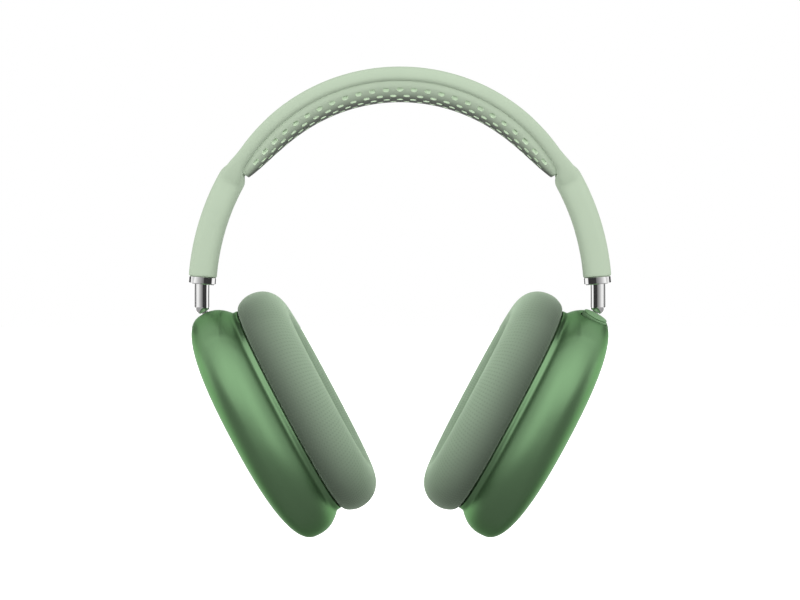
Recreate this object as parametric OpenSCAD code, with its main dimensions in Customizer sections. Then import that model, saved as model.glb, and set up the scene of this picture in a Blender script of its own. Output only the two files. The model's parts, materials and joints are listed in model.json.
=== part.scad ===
// Over-ear headset: a forked band with a slotted head pad, two sliding arms and two tilting, turning cups.
// Millimetres. +Z up, +Y the way the wearer faces, +X the wearer's right.
// The origin is the lowest point of the head pad's underside, where the headset rests on the head.

/* [Band] */
// Radius of the two rails' centre line over the head
rail_r = 76.6; // [74:0.2:79]
// Height of the centre of the rails' curve
rail_cz = -67.8; // [-70:0.2:-66]
// Distance from the middle to each rail at the crown
rail_spread = 20.5; // [18:0.5:24]
// Thickness of a rail, square to the head
rail_w = 5.5; // [5:0.1:6]
// Width of a rail, front to back
rail_d = 6.6; // [6:0.1:7.5]
// Diameter of a leg, where the two rails have become one
leg_d = 11.1; // [10.8:0.1:11.6]
// Angle from the crown at which the leg's wider curve begins
leg_angle = 60; // [58:1:62]
// Radius of a leg's centre line
leg_r = 95.8; // [94:0.2:98]

/* [Head pad] */
// How far the ends of the pad curl up toward the rails
pad_curl = 3.3; // [2:0.1:4]
// Thickness of the moulded pad
pad_wall = 1.4; // [1.2:0.1:1.8]
// Angle from the crown at which the pad ends
pad_angle = 58.3; // [54:0.1:59]
// Openings in each of the pad's longer rows
opening_count = 25; // [17:2:25]
// Rows of openings on each side of the middle row
opening_rows = 3; // [1:1:3]
// Width of an opening, front to back
opening_w = 2.7; // [1.6:0.1:3.4]

/* [Arms] */
// Diameter of the polished arm
arm_d = 6; // [5.4:0.1:6.1]
// Radius of the curve that the arm slides along
arm_r = 170; // [165:1:180]
// Distance from the middle to the arm where it hangs straight down
arm_x = 79.2; // [79:0.1:79.6]
// Height at which the arm hangs straight down
arm_z = -77.4; // [-78:0.1:-77]
// Length of arm that slides out
arm_travel = 16; // [10:1:16]

/* [Cups] */
// Lean of a cup's long axis from upright
cup_lean = 28; // [26:0.5:30]
// Height of a cup along its long axis
cup_h = 99.4; // [98:0.2:101]
// Width of a cup, front to back
cup_d = 83.6; // [82:0.2:86]
// Thickness of the hard shell
shell_t = 23.8; // [23:0.1:25]
// Distance from the seam to the shell's widest section
shell_waist = 11.3; // [10:0.1:12]
// How far the shell tucks in at the seam
shell_tuck = 6.4; // [5:0.1:7]
// Wall of the shell
shell_wall = 1.9; // [1.6:0.1:2.2]
// Height of the cushion along the cup's long axis
cushion_h = 96.2; // [95:0.2:97]
// Width of the cushion, front to back
cushion_d = 80.4; // [79:0.2:81]
// Thickness of the cushion from the seam
cushion_t = 19.5; // [18:0.1:20]

/* [Controls] */
// Diameter of the dial
dial_d = 10.5; // [9.5:0.1:10.6]
// Distance from the middle of the cup to the dial and to the button
control_y = 14; // [13.5:0.1:14.5]
// Length of the button
button_l = 12; // [10:0.5:13]
// Width of the button
button_w = 4.6; // [4:0.1:5]

/* [Hidden] */

$fn = 64;
SAGE = [0.72, 0.79, 0.70];
GREEN = [0.40, 0.58, 0.39];
KNIT = [0.50, 0.60, 0.50];
STEEL = [0.80, 0.80, 0.80];
DARK = [0.16, 0.17, 0.17];
BRASS = [0.72, 0.58, 0.30];
BOARD = [0.10, 0.28, 0.20];
tiny = 0.01;
run = 0.05;        // radial clearance of a part that turns or slides in another
seat = 0.02;       // radial clearance of a part that is pressed in place

// band
rail_end = rail_r * leg_angle * PI / 180;
leg_cx = (rail_r - leg_r) * sin(leg_angle);
leg_cz = rail_cz + (rail_r - leg_r) * cos(leg_angle);
fork_end = 86;     // length from the crown at which the rails' centre lines would meet
widen_from = 75;   // length from the crown at which a rail starts to thicken
rail_last = 84.5;  // length from the crown at which a rail ends inside the leg
rail_grow_w = 3.1;
rail_grow_d = 1;
web_from = 78;     // length from the crown at which the web between the rails begins
web_w = 4.6;
web_d = 9;
leg_from = 85.5;   // length from the crown from which the leg is round
leg_foot = 85.6;   // angle of the leg's lower end on its own curve
band_sides = 16;
tube_r = 5.05;     // outside of the steel tube in a leg
tube_bore = 4.65;
tube_top = 63.6;   // angle of the tube's upper end on the leg's curve
bush_h = 6;        // length of leg that the guide bush fills
collar_r = 5.45;
collar_h = 3.1;
collar_bore = 3.3;
pad_r = -rail_cz;  // the pad's underside passes through the origin
row_pitch = 0.28 * rail_spread; // from one row of openings to the next, at the crown
opening_end = pad_angle - 4.2;  // angle from the crown at which the openings end

// arm
pivot_s = -4.9;    // height of the tilt pivot from the point where the arm hangs straight down
foot_s = leg_cz + leg_r * cos(leg_foot) - arm_z;
thick_s = foot_s + arm_travel + 2;     // height at which the arm's full diameter ends
stop_r = 2.95;
stop_h = 3.4;
stop_off = 1.3;    // how far the stop's middle lies in from the arm's tail
tail_r = 1.4;
spring_bore = 1.6; // radius of the bore that holds the spring and plunger
tail_s = foot_s + bush_h + arm_travel + stop_h + 0.25; // height of the arm's upper end
pivot_x = arm_x;
pivot_z = arm_z + pivot_s;
slot_w = 2.7;      // slot in the arm's end, front to back
eye_w = slot_w - 2 * run;
eye_r = 1.5;
pin_r = 0.6;
neck_r = 1.3;
flat_q = 2.1;      // distance from the pivot to the flat on the arm's end
tilt_range = 35;
spring_r = 1.1;
spring_wire = 0.25;
spring_turns = 4;
spring_h = 9;
plunger_h = 2;

// post, measured down from the pivot along the cup's long axis
post_x = 10.7;     // distance from the seam to the post
post_z = 52.35;    // distance from the cup's middle up to the pivot
dimple_r = 3.4;
journal_r = 2.4;
journal_top = 5.4;
journal_end = 12;
clip_h = 0.8;
clip_r = 3.5;
groove_deep = 0.6; // groove that the clip sits in
bush_r = 3.3;      // outside of the swivel bush
housing_r = 4.7;
housing_top = 6.4;
housing_end = 18.4;
housing_foot = 2.4;
post_end = 14;

// cup
side_power = 2.35; // squareness of the cup seen from the side
dome_power = 2.75; // squareness of the shell's outer face
cup_sides = 48;
rim_depth = 2.2;   // straight part of the shell's inside, where the baffle sits
baffle_gap = 0.1;
crest = 12;        // distance from the cushion's side in to its crest
lip = 6.2;         // distance from the crest in to the ear opening
cushion_waist = 8; // distance from the seam to the cushion's widest section
cushion_back = 1.6;
foam_power = 2.2;
ear_gap = 0.3;

// dial and button
control_x = 10.2;
dial_top = 48.7;
dial_lean = 13;
dial_h = 2.4;
dial_shaft_r = 2.2;
dial_hole_r = dial_d / 2 + 0.25;
shaft_end = 8.4;   // depth of the dial's shaft, measured down from its top, as are the next ones
bezel_top = 2.9;
bezel_flange = 5.2;
bezel_end = 5.8;
encoder_top = 5.9;
encoder_end = 12;
encoder_floor = 10.5;
plunger_end = 9.9;
button_top = 48.4;
button_lean = -12;
button_h = 4.5;
button_gap = 0.25; // between the button and its hole
flange_h = 0.8;
switch_top = 5.8;
switch_end = 9;
port_l = 9.4;      // charging socket, over its steel sleeve
port_w = 3.6;
port_wall = 0.4;
port_gap = 0.15;
port_deep = 8;

function band_angle(l) =
    l < rail_end ? l / rail_r * 180 / PI : leg_angle + (l - rail_end) / leg_r * 180 / PI;
function band_x(l) = l < rail_end ? rail_r * sin(band_angle(l)) : leg_cx + leg_r * sin(band_angle(l));
function band_z(l) =
    l < rail_end ? rail_cz + rail_r * cos(band_angle(l)) : leg_cz + leg_r * cos(band_angle(l));
function rail_y(l) = l >= fork_end ? 0 : rail_spread * pow(1 - pow(l / fork_end, 2.6), 0.85);
function ease(t) = let (u = min(max(t, 0), 1)) u * u * (3 - 2 * u);
band_length = rail_end + leg_r * (leg_foot - leg_angle) * PI / 180;

// Points of an oval outline with squared-off ends: half width b, half height a
function oval(b, a, power, sides) = [
    for (i = [0:sides - 1]) let (t = 360 * i / sides, c = cos(t), s = sin(t))
    [b * sign(c) * pow(abs(c), 2 / power), a * sign(s) * pow(abs(s), 2 / power)]
];

// A solid through rings of points, flat at both ends. Each ring has the same number of points.
module loft(rings) {
    n = len(rings[0]);
    m = len(rings);
    polyhedron(
        points = [for (r = rings) each r],
        faces = concat(
            [[for (i = [0:n - 1]) i]],
            [for (j = [0:m - 2], i = [0:n - 1]) [j * n + i, (j + 1) * n + (i + 1) % n, j * n + (i + 1) % n]],
            [for (j = [0:m - 2], i = [0:n - 1]) [j * n + i, (j + 1) * n + i, (j + 1) * n + (i + 1) % n]],
            [[for (i = [n - 1:-1:0]) (m - 1) * n + i]]
        )
    );
}

// A closed ring: sections of points that follow one another and meet again at the start
module ring_loft(sections) {
    n = len(sections[0]);
    m = len(sections);
    polyhedron(
        points = [for (s = sections) each s],
        faces = [
            for (j = [0:m - 1], i = [0:n - 1])
            let (k = (j + 1) % m, h = (i + 1) % n)
            each [[j * n + i, k * n + h, j * n + h], [j * n + i, k * n + i, k * n + h]]
        ]
    );
}

// Builds the right-hand piece, or its mirror image on the left
module on_side(side) {
    if (side > 0)
        children();
    else
        mirror([1, 0, 0])
            children();
}

// A solid bar bent along a circle in the XZ plane, between two angles counted up from +X
module bent_bar(path_r, r, from, to) {
    rotate([90, 0, 0])
        rotate_extrude(angle = to - from, start = from, $fn = 180)
            translate([path_r, 0])
                circle(r);
}

// ---- band ----

// A section of the band with thickness w and depth d, its middle y from the centre plane. The place is a
// length from the crown, negative on the left.
function band_ring(place, w, d, y) =
    let (
        l = abs(place),
        hand = place < 0 ? -1 : 1,
        a = band_angle(l)
    )
    [
        for (i = [0:band_sides - 1])
        let (t = -360 * i / band_sides, out = w / 2 * cos(t))
        [hand * (band_x(l) + out * sin(a)), y + d / 2 * sin(t), band_z(l) + out * cos(a)]
    ];

function rail_ring(place, side) =
    let (l = abs(place), grown = ease((l - widen_from) / (rail_last - widen_from)))
    band_ring(place, rail_w + grown * rail_grow_w, rail_d + grown * rail_grow_d, side * rail_y(l));

module rail(side) {
    rail_steps = 13;
    fork_steps = 5;
    half = concat(
        [for (i = [0:rail_steps - 1]) widen_from * i / rail_steps],
        [for (i = [0:fork_steps]) widen_from + (rail_last - widen_from) * i / fork_steps]
    );
    last = len(half) - 1;
    loft([for (i = [-last:last]) rail_ring(sign(i) * half[abs(i)], side)]);
}

module leg() {
    fork_steps = 6;
    leg_steps = 7;
    half = concat(
        [for (i = [0:fork_steps - 1]) web_from + (leg_from - web_from) * i / fork_steps],
        [for (i = [0:leg_steps]) leg_from + (band_length - leg_from) * i / leg_steps]
    );
    loft([
        for (l = half)
        let (grown = ease((l - web_from) / (leg_from - web_from)))
        band_ring(l, web_w + (leg_d - web_w) * grown, web_d + (leg_d - web_d) * grown, 0)
    ]);
}

// A bar along a leg's own curve, between two angles counted from the crown
module leg_bar(r, from, to) {
    translate([leg_cx, 0, leg_cz])
        bent_bar(leg_r, r, 90 - to, 90 - from);
}

module band_frame() {
    color(SAGE)
        difference() {
            // a resize by nothing, so that the two rails fuse into one skin
            resize([0, 0, 0]) {
                rail(-1);
                rail(1);
                leg();
                mirror([1, 0, 0])
                    leg();
            }
            for (side = [-1, 1])
                on_side(side)
                    leg_bar(tube_r + run, tube_top - 0.3, leg_foot + 1);
        }
}

function pad_mid(a) = pad_r + pad_curl * pow(abs(a) / pad_angle, 9);
function pad_half(a) = rail_y(abs(a) * PI / 180 * rail_r);

// A point of the pad: angle from the crown, place across it from -1 to 1, and depth into its wall
function pad_point(a, v, deep) =
    let (
        y = pad_half(a) * sin(90 * v),
        low = pad_mid(a),
        r = low + (rail_r - rail_w / 2 + 0.3 - low) * (1 - cos(90 * v)) + deep
    )
    [r * sin(a), y * (1 - deep / 24), rail_cz + r * cos(a)];

// The pad is a grid of squares. Lines run across it at its ends and at the ends of its openings.
pad_columns = 2 * opening_count - 1;
end_columns = 2;
pad_lines = concat(
    [for (k = [0:end_columns - 1]) -pad_angle + (pad_angle - opening_end) * k / end_columns],
    [for (k = [0:pad_columns]) opening_end * (2 * k / pad_columns - 1)],
    [for (k = [1:end_columns]) opening_end + (pad_angle - opening_end) * k / end_columns]
);

// Lines run along it at its two hems and at the sides of its rows of openings
hem_lines = [0.83, 1];
pad_rows = concat(
    [for (k = [1:-1:0]) -hem_lines[k]],
    [
        for (row = [-opening_rows:opening_rows], edge = [-0.5, 0.5])
        asin((row * row_pitch + edge * opening_w) / rail_spread) / 90
    ],
    hem_lines
);

// Whether a square is open: every other one in a row, and staggered from row to row
function pad_open(i, j) =
    let (column = i - end_columns, row = (j - len(hem_lines)) / 2 - opening_rows)
    column >= 0 && column < pad_columns && abs(row) <= opening_rows && row == floor(row)
    && (column + row + opening_rows) % 2 == 0;

function pad_solid(i, j) =
    i >= 0 && i < len(pad_lines) - 1 && j >= 0 && j < len(pad_rows) - 1 && !pad_open(i, j);

function pad_corner(i, j, face) = (face * len(pad_lines) + i) * len(pad_rows) + j;

function two_triangles(a, b, c, d) = [[a, b, c], [a, c, d]];

// The wall of the pad along one side of a square, where nothing carries on beyond it
function pad_edge(i, j, k, l, beyond) =
    beyond
        ? []
        : two_triangles(pad_corner(i, j, 0), pad_corner(i, j, 1), pad_corner(k, l, 1), pad_corner(k, l, 0));

function pad_square(i, j) = concat(
    two_triangles(
        pad_corner(i, j, 0),
        pad_corner(i + 1, j, 0),
        pad_corner(i + 1, j + 1, 0),
        pad_corner(i, j + 1, 0)
    ),
    two_triangles(
        pad_corner(i, j, 1),
        pad_corner(i, j + 1, 1),
        pad_corner(i + 1, j + 1, 1),
        pad_corner(i + 1, j, 1)
    ),
    pad_edge(i, j, i + 1, j, pad_solid(i, j - 1)),
    pad_edge(i + 1, j, i + 1, j + 1, pad_solid(i + 1, j)),
    pad_edge(i + 1, j + 1, i, j + 1, pad_solid(i, j + 1)),
    pad_edge(i, j + 1, i, j, pad_solid(i - 1, j))
);

module head_pad() {
    color(SAGE)
        polyhedron(
            points = [for (deep = [0, pad_wall], a = pad_lines, v = pad_rows) pad_point(a, v, deep)],
            faces = [
                for (i = [0:len(pad_lines) - 2], j = [0:len(pad_rows) - 2])
                if (pad_solid(i, j))
                each pad_square(i, j)
            ]
        );
}

module leg_tube(side) {
    color(STEEL)
        on_side(side)
            difference() {
                leg_bar(tube_r, tube_top, leg_foot);
                leg_bar(tube_bore, tube_top - 1, leg_foot + 1);
            }
}

// A bar along the arm's curve, between two heights
module arm_bar(r, from, to) {
    translate([arm_x - arm_r, 0, arm_z])
        bent_bar(arm_r, r, asin(from / arm_r), asin(to / arm_r));
}

module guide_bush(side) {
    color(DARK)
        on_side(side)
            difference() {
                leg_bar(tube_bore - seat, leg_foot - bush_h / leg_r * 180 / PI, leg_foot);
                arm_bar(arm_d / 2 + run, -2, 22);
            }
}

// The leg's lower end: the collar's own axis runs up into the leg
module at_leg_foot() {
    translate([leg_cx + leg_r * sin(leg_foot), 0, leg_cz + leg_r * cos(leg_foot)])
        rotate([0, leg_foot - 90, 0])
            children();
}

module collar(side) {
    bevel = 0.3;
    color(STEEL)
        on_side(side)
            at_leg_foot()
                rotate_extrude()
                    polygon([
                        [collar_bore, -collar_h],
                        [collar_r - bevel, -collar_h],
                        [collar_r, bevel - collar_h],
                        [collar_r, -bevel],
                        [collar_r - bevel, -tiny],
                        [collar_bore, -tiny],
                    ]);
}

// ---- arm ----

module at_pivot() {
    translate([pivot_x, 0, pivot_z])
        children();
}

// The tilt pivot with the cup's own lean: down is along the cup's long axis
module at_post() {
    at_pivot()
        rotate([0, cup_lean, 0])
            children();
}

module neck_slot() {
    reach = 5;
    half = neck_r + 0.15;
    rotate([90, 0, 0])
        linear_extrude(slot_w, center = true) {
            circle(eye_r + 0.15);
            for (a = [cup_lean, cup_lean - tilt_range])
                rotate(-a)
                    translate([-half, -reach])
                        square([2 * half, reach]);
            rotate(-cup_lean)
                polygon([[0, 0], [0, -reach], [reach * tan(tilt_range), -reach]]);
        }
}

module arm(side) {
    color(STEEL)
        on_side(side)
            difference() {
                union() {
                    arm_bar(arm_d / 2, 0, thick_s);
                    arm_bar(tail_r, thick_s, tail_s);
                    translate([arm_x, 0, arm_z])
                        rotate_extrude()
                            intersection() {
                                translate([0, pivot_s])
                                    union() {
                                        circle(arm_d / 2);
                                        square([arm_d / 2, -pivot_s]);
                                    }
                                translate([0, -20])
                                    square([10, 20]);
                            }
                }
                arm_bar(spring_bore, pivot_s + 0.3, pivot_s + 14);
                at_pivot()
                    neck_slot();
                at_post()
                    translate([-5, -5, -flat_q - 10])
                        cube(10);
                at_pivot()
                    translate([0, 5, 0])
                        rotate([90, 0, 0])
                            cylinder(r = pin_r, h = 7.2);
            }
}

module arm_stop(side) {
    color(DARK)
        on_side(side)
            translate([arm_x - arm_r, 0, arm_z])
                rotate([0, -asin((tail_s - stop_h) / arm_r), 0])
                    translate([arm_r, 0, 0])
                        difference() {
                            translate([-stop_off, 0, 0])
                                cylinder(r = stop_r, h = stop_h);
                            translate([0, 0, -1])
                                cylinder(r = tail_r + run, h = stop_h + 2);
                        }
}

module tilt_pin(side) {
    color(STEEL)
        on_side(side)
            at_pivot()
                translate([0, 2.6, 0])
                    rotate([90, 0, 0])
                        cylinder(r = pin_r - seat, h = 4.7);
}

module tilt_plunger(side) {
    color(BRASS)
        on_side(side)
            arm_bar(spring_bore - 2 * run, pivot_s + eye_r + 0.1, pivot_s + eye_r + plunger_h);
}

function coil_point(t, turn_r, h, turns) =
    [turn_r * cos(360 * turns * t), turn_r * sin(360 * turns * t), h * t];

module tilt_spring(side) {
    steps = 8 * spring_turns;
    wire_sides = 5;
    color(STEEL)
        on_side(side)
            translate([arm_x - arm_r, 0, arm_z])
                rotate([0, -asin((pivot_s + eye_r + plunger_h + 0.4) / arm_r), 0])
                    translate([arm_r, 0, 0])
                        loft([
                            for (i = [0:steps])
                            let (
                                t = i / steps,
                                turn = 360 * spring_turns * t,
                                p = coil_point(t, spring_r, spring_h, spring_turns)
                            )
                            [
                                for (k = [0:wire_sides - 1])
                                let (w = -360 * k / wire_sides)
                                p + spring_wire * [cos(turn) * cos(w), sin(turn) * cos(w), sin(w)]
                            ]
                        ]);
}

// ---- post ----

module pivot_post(side) {
    color(STEEL)
        on_side(side)
            at_post()
                difference() {
                    union() {
                        rotate([90, 0, 0])
                            cylinder(r = eye_r, h = eye_w, center = true);
                        mirror([0, 0, 1])
                            rotate_extrude()
                                polygon([
                                    [0, 0.9],
                                    [0.9, 0.9],
                                    [neck_r, 1.8],
                                    [neck_r, journal_top],
                                    [journal_r, journal_top],
                                    [journal_r, journal_end],
                                    [journal_r - groove_deep, journal_end],
                                    [journal_r - groove_deep, journal_end + clip_h + 0.2],
                                    [journal_r, journal_end + clip_h + 0.2],
                                    [journal_r, post_end - 0.4],
                                    [journal_r - 0.4, post_end],
                                    [0, post_end],
                                ]);
                    }
                    rotate([90, 0, 0])
                        cylinder(r = pin_r + run, h = 10, center = true);
                }
}

module post_clip(side) {
    color(STEEL)
        on_side(side)
            at_post()
                translate([0, 0, -journal_end - clip_h - 0.1])
                    difference() {
                        cylinder(r = clip_r, h = clip_h);
                        translate([0, 0, -1])
                            cylinder(r = journal_r - groove_deep + seat, h = 3);
                        translate([0, -0.8, -1])
                            cube([5, 1.6, 3]);
                    }
}

// ---- cup ----

// The cup's own frame: origin at the middle of the seam, +X outward, +Z along the cup
module in_cup() {
    at_post()
        translate([-post_x, 0, -post_z])
            children();
}

// Children drawn flat in XY stand across the cup, with their +Z outward and their +X down
module across_cup(x) {
    translate([x, 0, 0])
        rotate([0, 90, 0])
            children();
}

module flat_oval(b, a) {
    polygon([for (p = oval(b, a, side_power, cup_sides)) [p[1], p[0]]]);
}

// How far the shell's outside lies in from its widest section, near the seam
function tuck(x) = shell_tuck * pow(1 - x / shell_waist, 2.4);
function cup_ring(x, b, a) = [for (p = oval(b, a, side_power, cup_sides)) [x, p[0], p[1]]];
function dome_ring(t, depth, b, a) =
    cup_ring(
        shell_waist + depth * pow(sin(t), 2 / dome_power),
        b * pow(cos(t), 2 / dome_power),
        a * pow(cos(t), 2 / dome_power)
    );

module shell_skin() {
    b = cup_d / 2;
    a = cup_h / 2;
    rim_b = b - shell_tuck - shell_wall;
    rim_a = a - shell_tuck - shell_wall;
    loft(concat(
        [
            for (t = [80, 65, 45, 20, 0])
            dome_ring(t, shell_t - shell_waist - shell_wall, b - shell_wall, a - shell_wall)
        ],
        [for (x = [7, 4]) cup_ring(x, b - shell_wall - tuck(x), a - shell_wall - tuck(x))],
        [cup_ring(rim_depth, rim_b, rim_a), cup_ring(0, rim_b, rim_a)],
        [for (x = [0, 1.2, 3, 5.5, 8]) cup_ring(x, b - tuck(x), a - tuck(x))],
        [for (t = [0:10:80]) dome_ring(t, shell_t - shell_waist, b, a)]
    ));
}

module at_dial() {
    translate([control_x, -control_y, dial_top])
        rotate([dial_lean, 0, 0])
            children();
}

module at_button() {
    translate([control_x, control_y, button_top])
        rotate([button_lean, 0, 0])
            children();
}

// A flat outline with round ends, its length along Y
module pill(l, w) {
    square([w, l - w], center = true);
    for (side = [-1, 1])
        translate([0, side * (l - w) / 2])
            circle(w / 2);
}

module cup_shell(side) {
    color(GREEN)
        on_side(side)
            in_cup()
                difference() {
                    shell_skin();
                    translate([post_x, 0, post_z])
                        sphere(dimple_r);
                    translate([post_x, 0, post_z - 7])
                        cylinder(r = neck_r + 0.3, h = 6);
                    if (side > 0) {
                        at_dial()
                            translate([0, 0, -5])
                                cylinder(r = dial_hole_r, h = 8);
                        at_button()
                            translate([0, 0, -5])
                                linear_extrude(8)
                                    pill(button_l + 2 * button_gap, button_w + 2 * button_gap);
                        translate([shell_waist, 0, -cup_h / 2 - 2])
                            linear_extrude(8)
                                pill(port_l + 2 * port_gap, port_w + 2 * port_gap);
                    }
                }
}

module swivel_bush(side) {
    color(BRASS)
        on_side(side)
            at_post()
                translate([0, 0, -journal_end + 0.1])
                    difference() {
                        cylinder(r = bush_r, h = journal_end - journal_top - 0.6);
                        translate([0, 0, -1])
                            cylinder(r = journal_r + run, h = 10);
                    }
}

module pivot_housing(side) {
    color(DARK)
        on_side(side)
            at_post()
                translate([0, 0, -housing_end])
                    difference() {
                        union() {
                            cylinder(r = housing_r, h = housing_end - housing_top);
                            translate([-2, -13, 0])
                                cube([4, 26, housing_foot]);
                        }
                        translate([0, 0, housing_end - journal_end])
                            cylinder(r = bush_r + seat, h = 10);
                        translate([0, 0, 2])
                            cylinder(r = clip_r + 0.4, h = housing_end - journal_end - 2 + tiny);
                        for (y = [-10.5, 10.5])
                            translate([0, y, -1])
                                cylinder(r = 0.9, h = 5);
                    }
}

// ---- baffle and speaker ----

speaker_r = 20.4;
magnet_ring_b = 28.6;
magnet_ring_a = 36.4;

module around_baffle(count, phase) {
    for (i = [0:count - 1]) {
        t = 360 * (i + phase) / count;
        translate([magnet_ring_a * sin(t), magnet_ring_b * cos(t), 0])
            children();
    }
}

module baffle(side) {
    b = cup_d / 2 - shell_tuck - shell_wall - baffle_gap;
    a = cup_h / 2 - shell_tuck - shell_wall - baffle_gap;
    color(DARK)
        on_side(side)
            in_cup()
                across_cup(0.2)
                    difference() {
                        linear_extrude(2)
                            flat_oval(b, a);
                        translate([0, 0, -1])
                            cylinder(r = speaker_r, h = 5);
                        around_baffle(8, 0.5)
                            translate([0, 0, -1])
                                cylinder(r = 2.5, h = 2.2);
                    }
}

module cushion_magnets(side) {
    color(STEEL)
        on_side(side)
            in_cup()
                across_cup(0.2)
                    around_baffle(8, 0.5)
                        cylinder(r = 2.45, h = 1.15);
}

module speaker_frame(side) {
    color(DARK)
        on_side(side)
            in_cup()
                across_cup(2.2)
                    difference() {
                        rotate_extrude()
                            polygon([
                                [19.6, 0.02],
                                [22.6, 0.02],
                                [22.6, 1.2],
                                [21, 1.2],
                                [19.8, 6],
                                [13, 8.4],
                                [10, 8.4],
                                [10, 7.4],
                                [12.6, 7.4],
                                [18.6, 5.2],
                                [19.6, 1.2],
                            ]);
                        for (t = [0:60:300])
                            rotate(t)
                                translate([15.6, 0, -1])
                                    cylinder(r = 1.9, h = 12);
                    }
}

module speaker_magnet(side) {
    color(STEEL)
        on_side(side)
            in_cup()
                across_cup(2.2)
                    rotate_extrude()
                        polygon([
                            [0, 3.6],
                            [6.1, 3.6],
                            [6.1, 8],
                            [7.7, 8],
                            [7.7, 3.6],
                            [9.9, 3.6],
                            [9.9, 9.3],
                            [9.4, 9.8],
                            [0, 9.8],
                        ]);
}

module diaphragm(side) {
    color(BOARD)
        on_side(side)
            in_cup()
                across_cup(2.2)
                    rotate_extrude()
                        polygon([
                            [0, 0.5],
                            [3.6, 0.9],
                            [6.5, 2],
                            [7.2, 2],
                            [14, 0.3],
                            [16.6, -0.5],
                            [18.9, 0.3],
                            [19.3, 0.3],
                            [19.3, 0.6],
                            [18.8, 0.6],
                            [16.6, -0.15],
                            [14.1, 0.65],
                            [7.3, 2.35],
                            [6.4, 2.35],
                            [3.5, 1.25],
                            [0, 0.85],
                        ]);
}

module voice_coil(side) {
    color(BRASS)
        on_side(side)
            in_cup()
                across_cup(2.2 + 2.35)
                    difference() {
                        cylinder(r = 7.2, h = 4.2);
                        translate([0, 0, -1])
                            cylinder(r = 6.6, h = 7);
                    }
}

module speaker_grille(side) {
    color(DARK)
        on_side(side)
            in_cup()
                across_cup(0.2)
                    difference() {
                        cylinder(r = speaker_r - 0.05, h = 0.6);
                        for (ring = [0:3])
                            for (i = [0:max(0, 6 * ring - 1)])
                                rotate(360 * i / max(1, 6 * ring))
                                    translate([4.6 * ring, 0, -1])
                                        cylinder(r = 1.6, h = 3);
                    }
}

module circuit_board(side) {
    x = side > 0 ? 15.6 : 13;
    color(BOARD)
        on_side(side)
            in_cup()
                across_cup(x) {
                    linear_extrude(0.9)
                        difference() {
                            square([62, 40], center = true);
                            for (y = [-17, 17], z = [-28, 28])
                                translate([z, y])
                                    circle(1.2);
                        }
                    translate([-22, -6, -0.8])
                        cube([9, 9, 0.8]);
                    translate([-6, 8, -0.8])
                        cube([6, 6, 0.8]);
                    translate([14, -12, -0.8])
                        cube([8, 12, 0.8]);
                }
}

module battery_left() {
    color(STEEL)
        on_side(-1)
            in_cup()
                across_cup(14.1)
                    linear_extrude(4.6)
                        for (z = [-1, 1])
                            translate([13.5 * z, 0])
                                square([25, 32], center = true);
}

// ---- cushion ----

module cushion_plate(side) {
    color(DARK)
        on_side(side)
            in_cup()
                across_cup(-1.5)
                    difference() {
                        linear_extrude(1.4)
                            flat_oval(33.2, 41.2);
                        translate([0, 0, -1])
                            linear_extrude(4)
                                flat_oval(18.4, 26.4);
                    }
}

function foam_section() =
    let (
        steps = 6,
        high = cushion_t - cushion_waist,
        round_at = 2 / foam_power
    )
    concat(
        [[cushion_back, 2.9], [3.6, 1.2]],
        [
            for (i = [0:steps])
            let (t = 90 * i / steps)
            [cushion_waist + high * pow(sin(t), round_at), crest * (1 - pow(cos(t), round_at))]
        ],
        [
            for (i = [1:steps])
            let (t = 90 - 90 * i / steps)
            [cushion_waist + 4 + (high - 4) * pow(sin(t), round_at), crest + lip * pow(cos(t), round_at)]
        ],
        [[cushion_back, crest + lip]]
    );

module cushion(side) {
    sides = 40;
    section = foam_section();
    b = cushion_d / 2;
    a = cushion_h / 2;
    color(KNIT)
        on_side(side)
            in_cup()
                ring_loft([
                    for (i = [0:sides - 1])
                    [for (p = section) let (q = oval(b - p[1], a - p[1], side_power, sides)[i]) [-p[0], q[0], q[1]]]
                ]);
}

module cushion_screen(side) {
    b = cushion_d / 2 - crest - lip - ear_gap;
    a = cushion_h / 2 - crest - lip - ear_gap;
    color(DARK)
        on_side(side)
            in_cup()
                across_cup(-2.1)
                    linear_extrude(0.55)
                        flat_oval(b, a);
}

// ---- dial, button and port, all on the right cup ----

module dial_knob() {
    r = dial_d / 2;
    color(GREEN)
        in_cup()
            at_dial()
                rotate_extrude()
                    polygon([
                        [0, 0],
                        [r - 0.7, 0],
                        [r, -0.5],
                        [r, 0.25 - dial_h],
                        [r - 0.25, -dial_h],
                        [dial_shaft_r, -dial_h],
                        [dial_shaft_r, -shaft_end],
                        [0, -shaft_end],
                    ]);
}

module dial_bezel() {
    r = dial_hole_r - seat;
    color(GREEN)
        in_cup()
            at_dial()
                rotate_extrude()
                    polygon([
                        [dial_shaft_r + run, -bezel_top],
                        [r - 0.3, -bezel_top],
                        [r, -bezel_top - 0.3],
                        [r, -bezel_flange],
                        [r + 0.7, -bezel_flange],
                        [r + 0.7, -bezel_end],
                        [dial_shaft_r + run, -bezel_end],
                    ]);
}

module dial_plunger() {
    color(BRASS)
        in_cup()
            at_dial()
                translate([0, 0, -plunger_end])
                    cylinder(r = dial_shaft_r - 0.3, h = plunger_end - shaft_end - run);
}

module dial_encoder() {
    color(DARK)
        in_cup()
            at_dial()
                difference() {
                    translate([-5, -5, -encoder_end])
                        cube([10, 10, encoder_end - encoder_top]);
                    translate([0, 0, -encoder_floor])
                        cylinder(r = dial_shaft_r + run, h = encoder_floor - encoder_top + 1);
                }
}

module mode_button() {
    color(GREEN)
        in_cup()
            at_button() {
                translate([0, 0, -button_h])
                    linear_extrude(button_h)
                        pill(button_l, button_w);
                translate([0, 0, -button_h - flange_h + 0.1])
                    linear_extrude(flange_h)
                        pill(button_l + 2, button_w + 2);
            }
}

module button_switch() {
    color(DARK)
        in_cup()
            at_button()
                translate([-3, -3, -switch_end])
                    cube([6, 6, switch_end - switch_top]);
}

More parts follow.
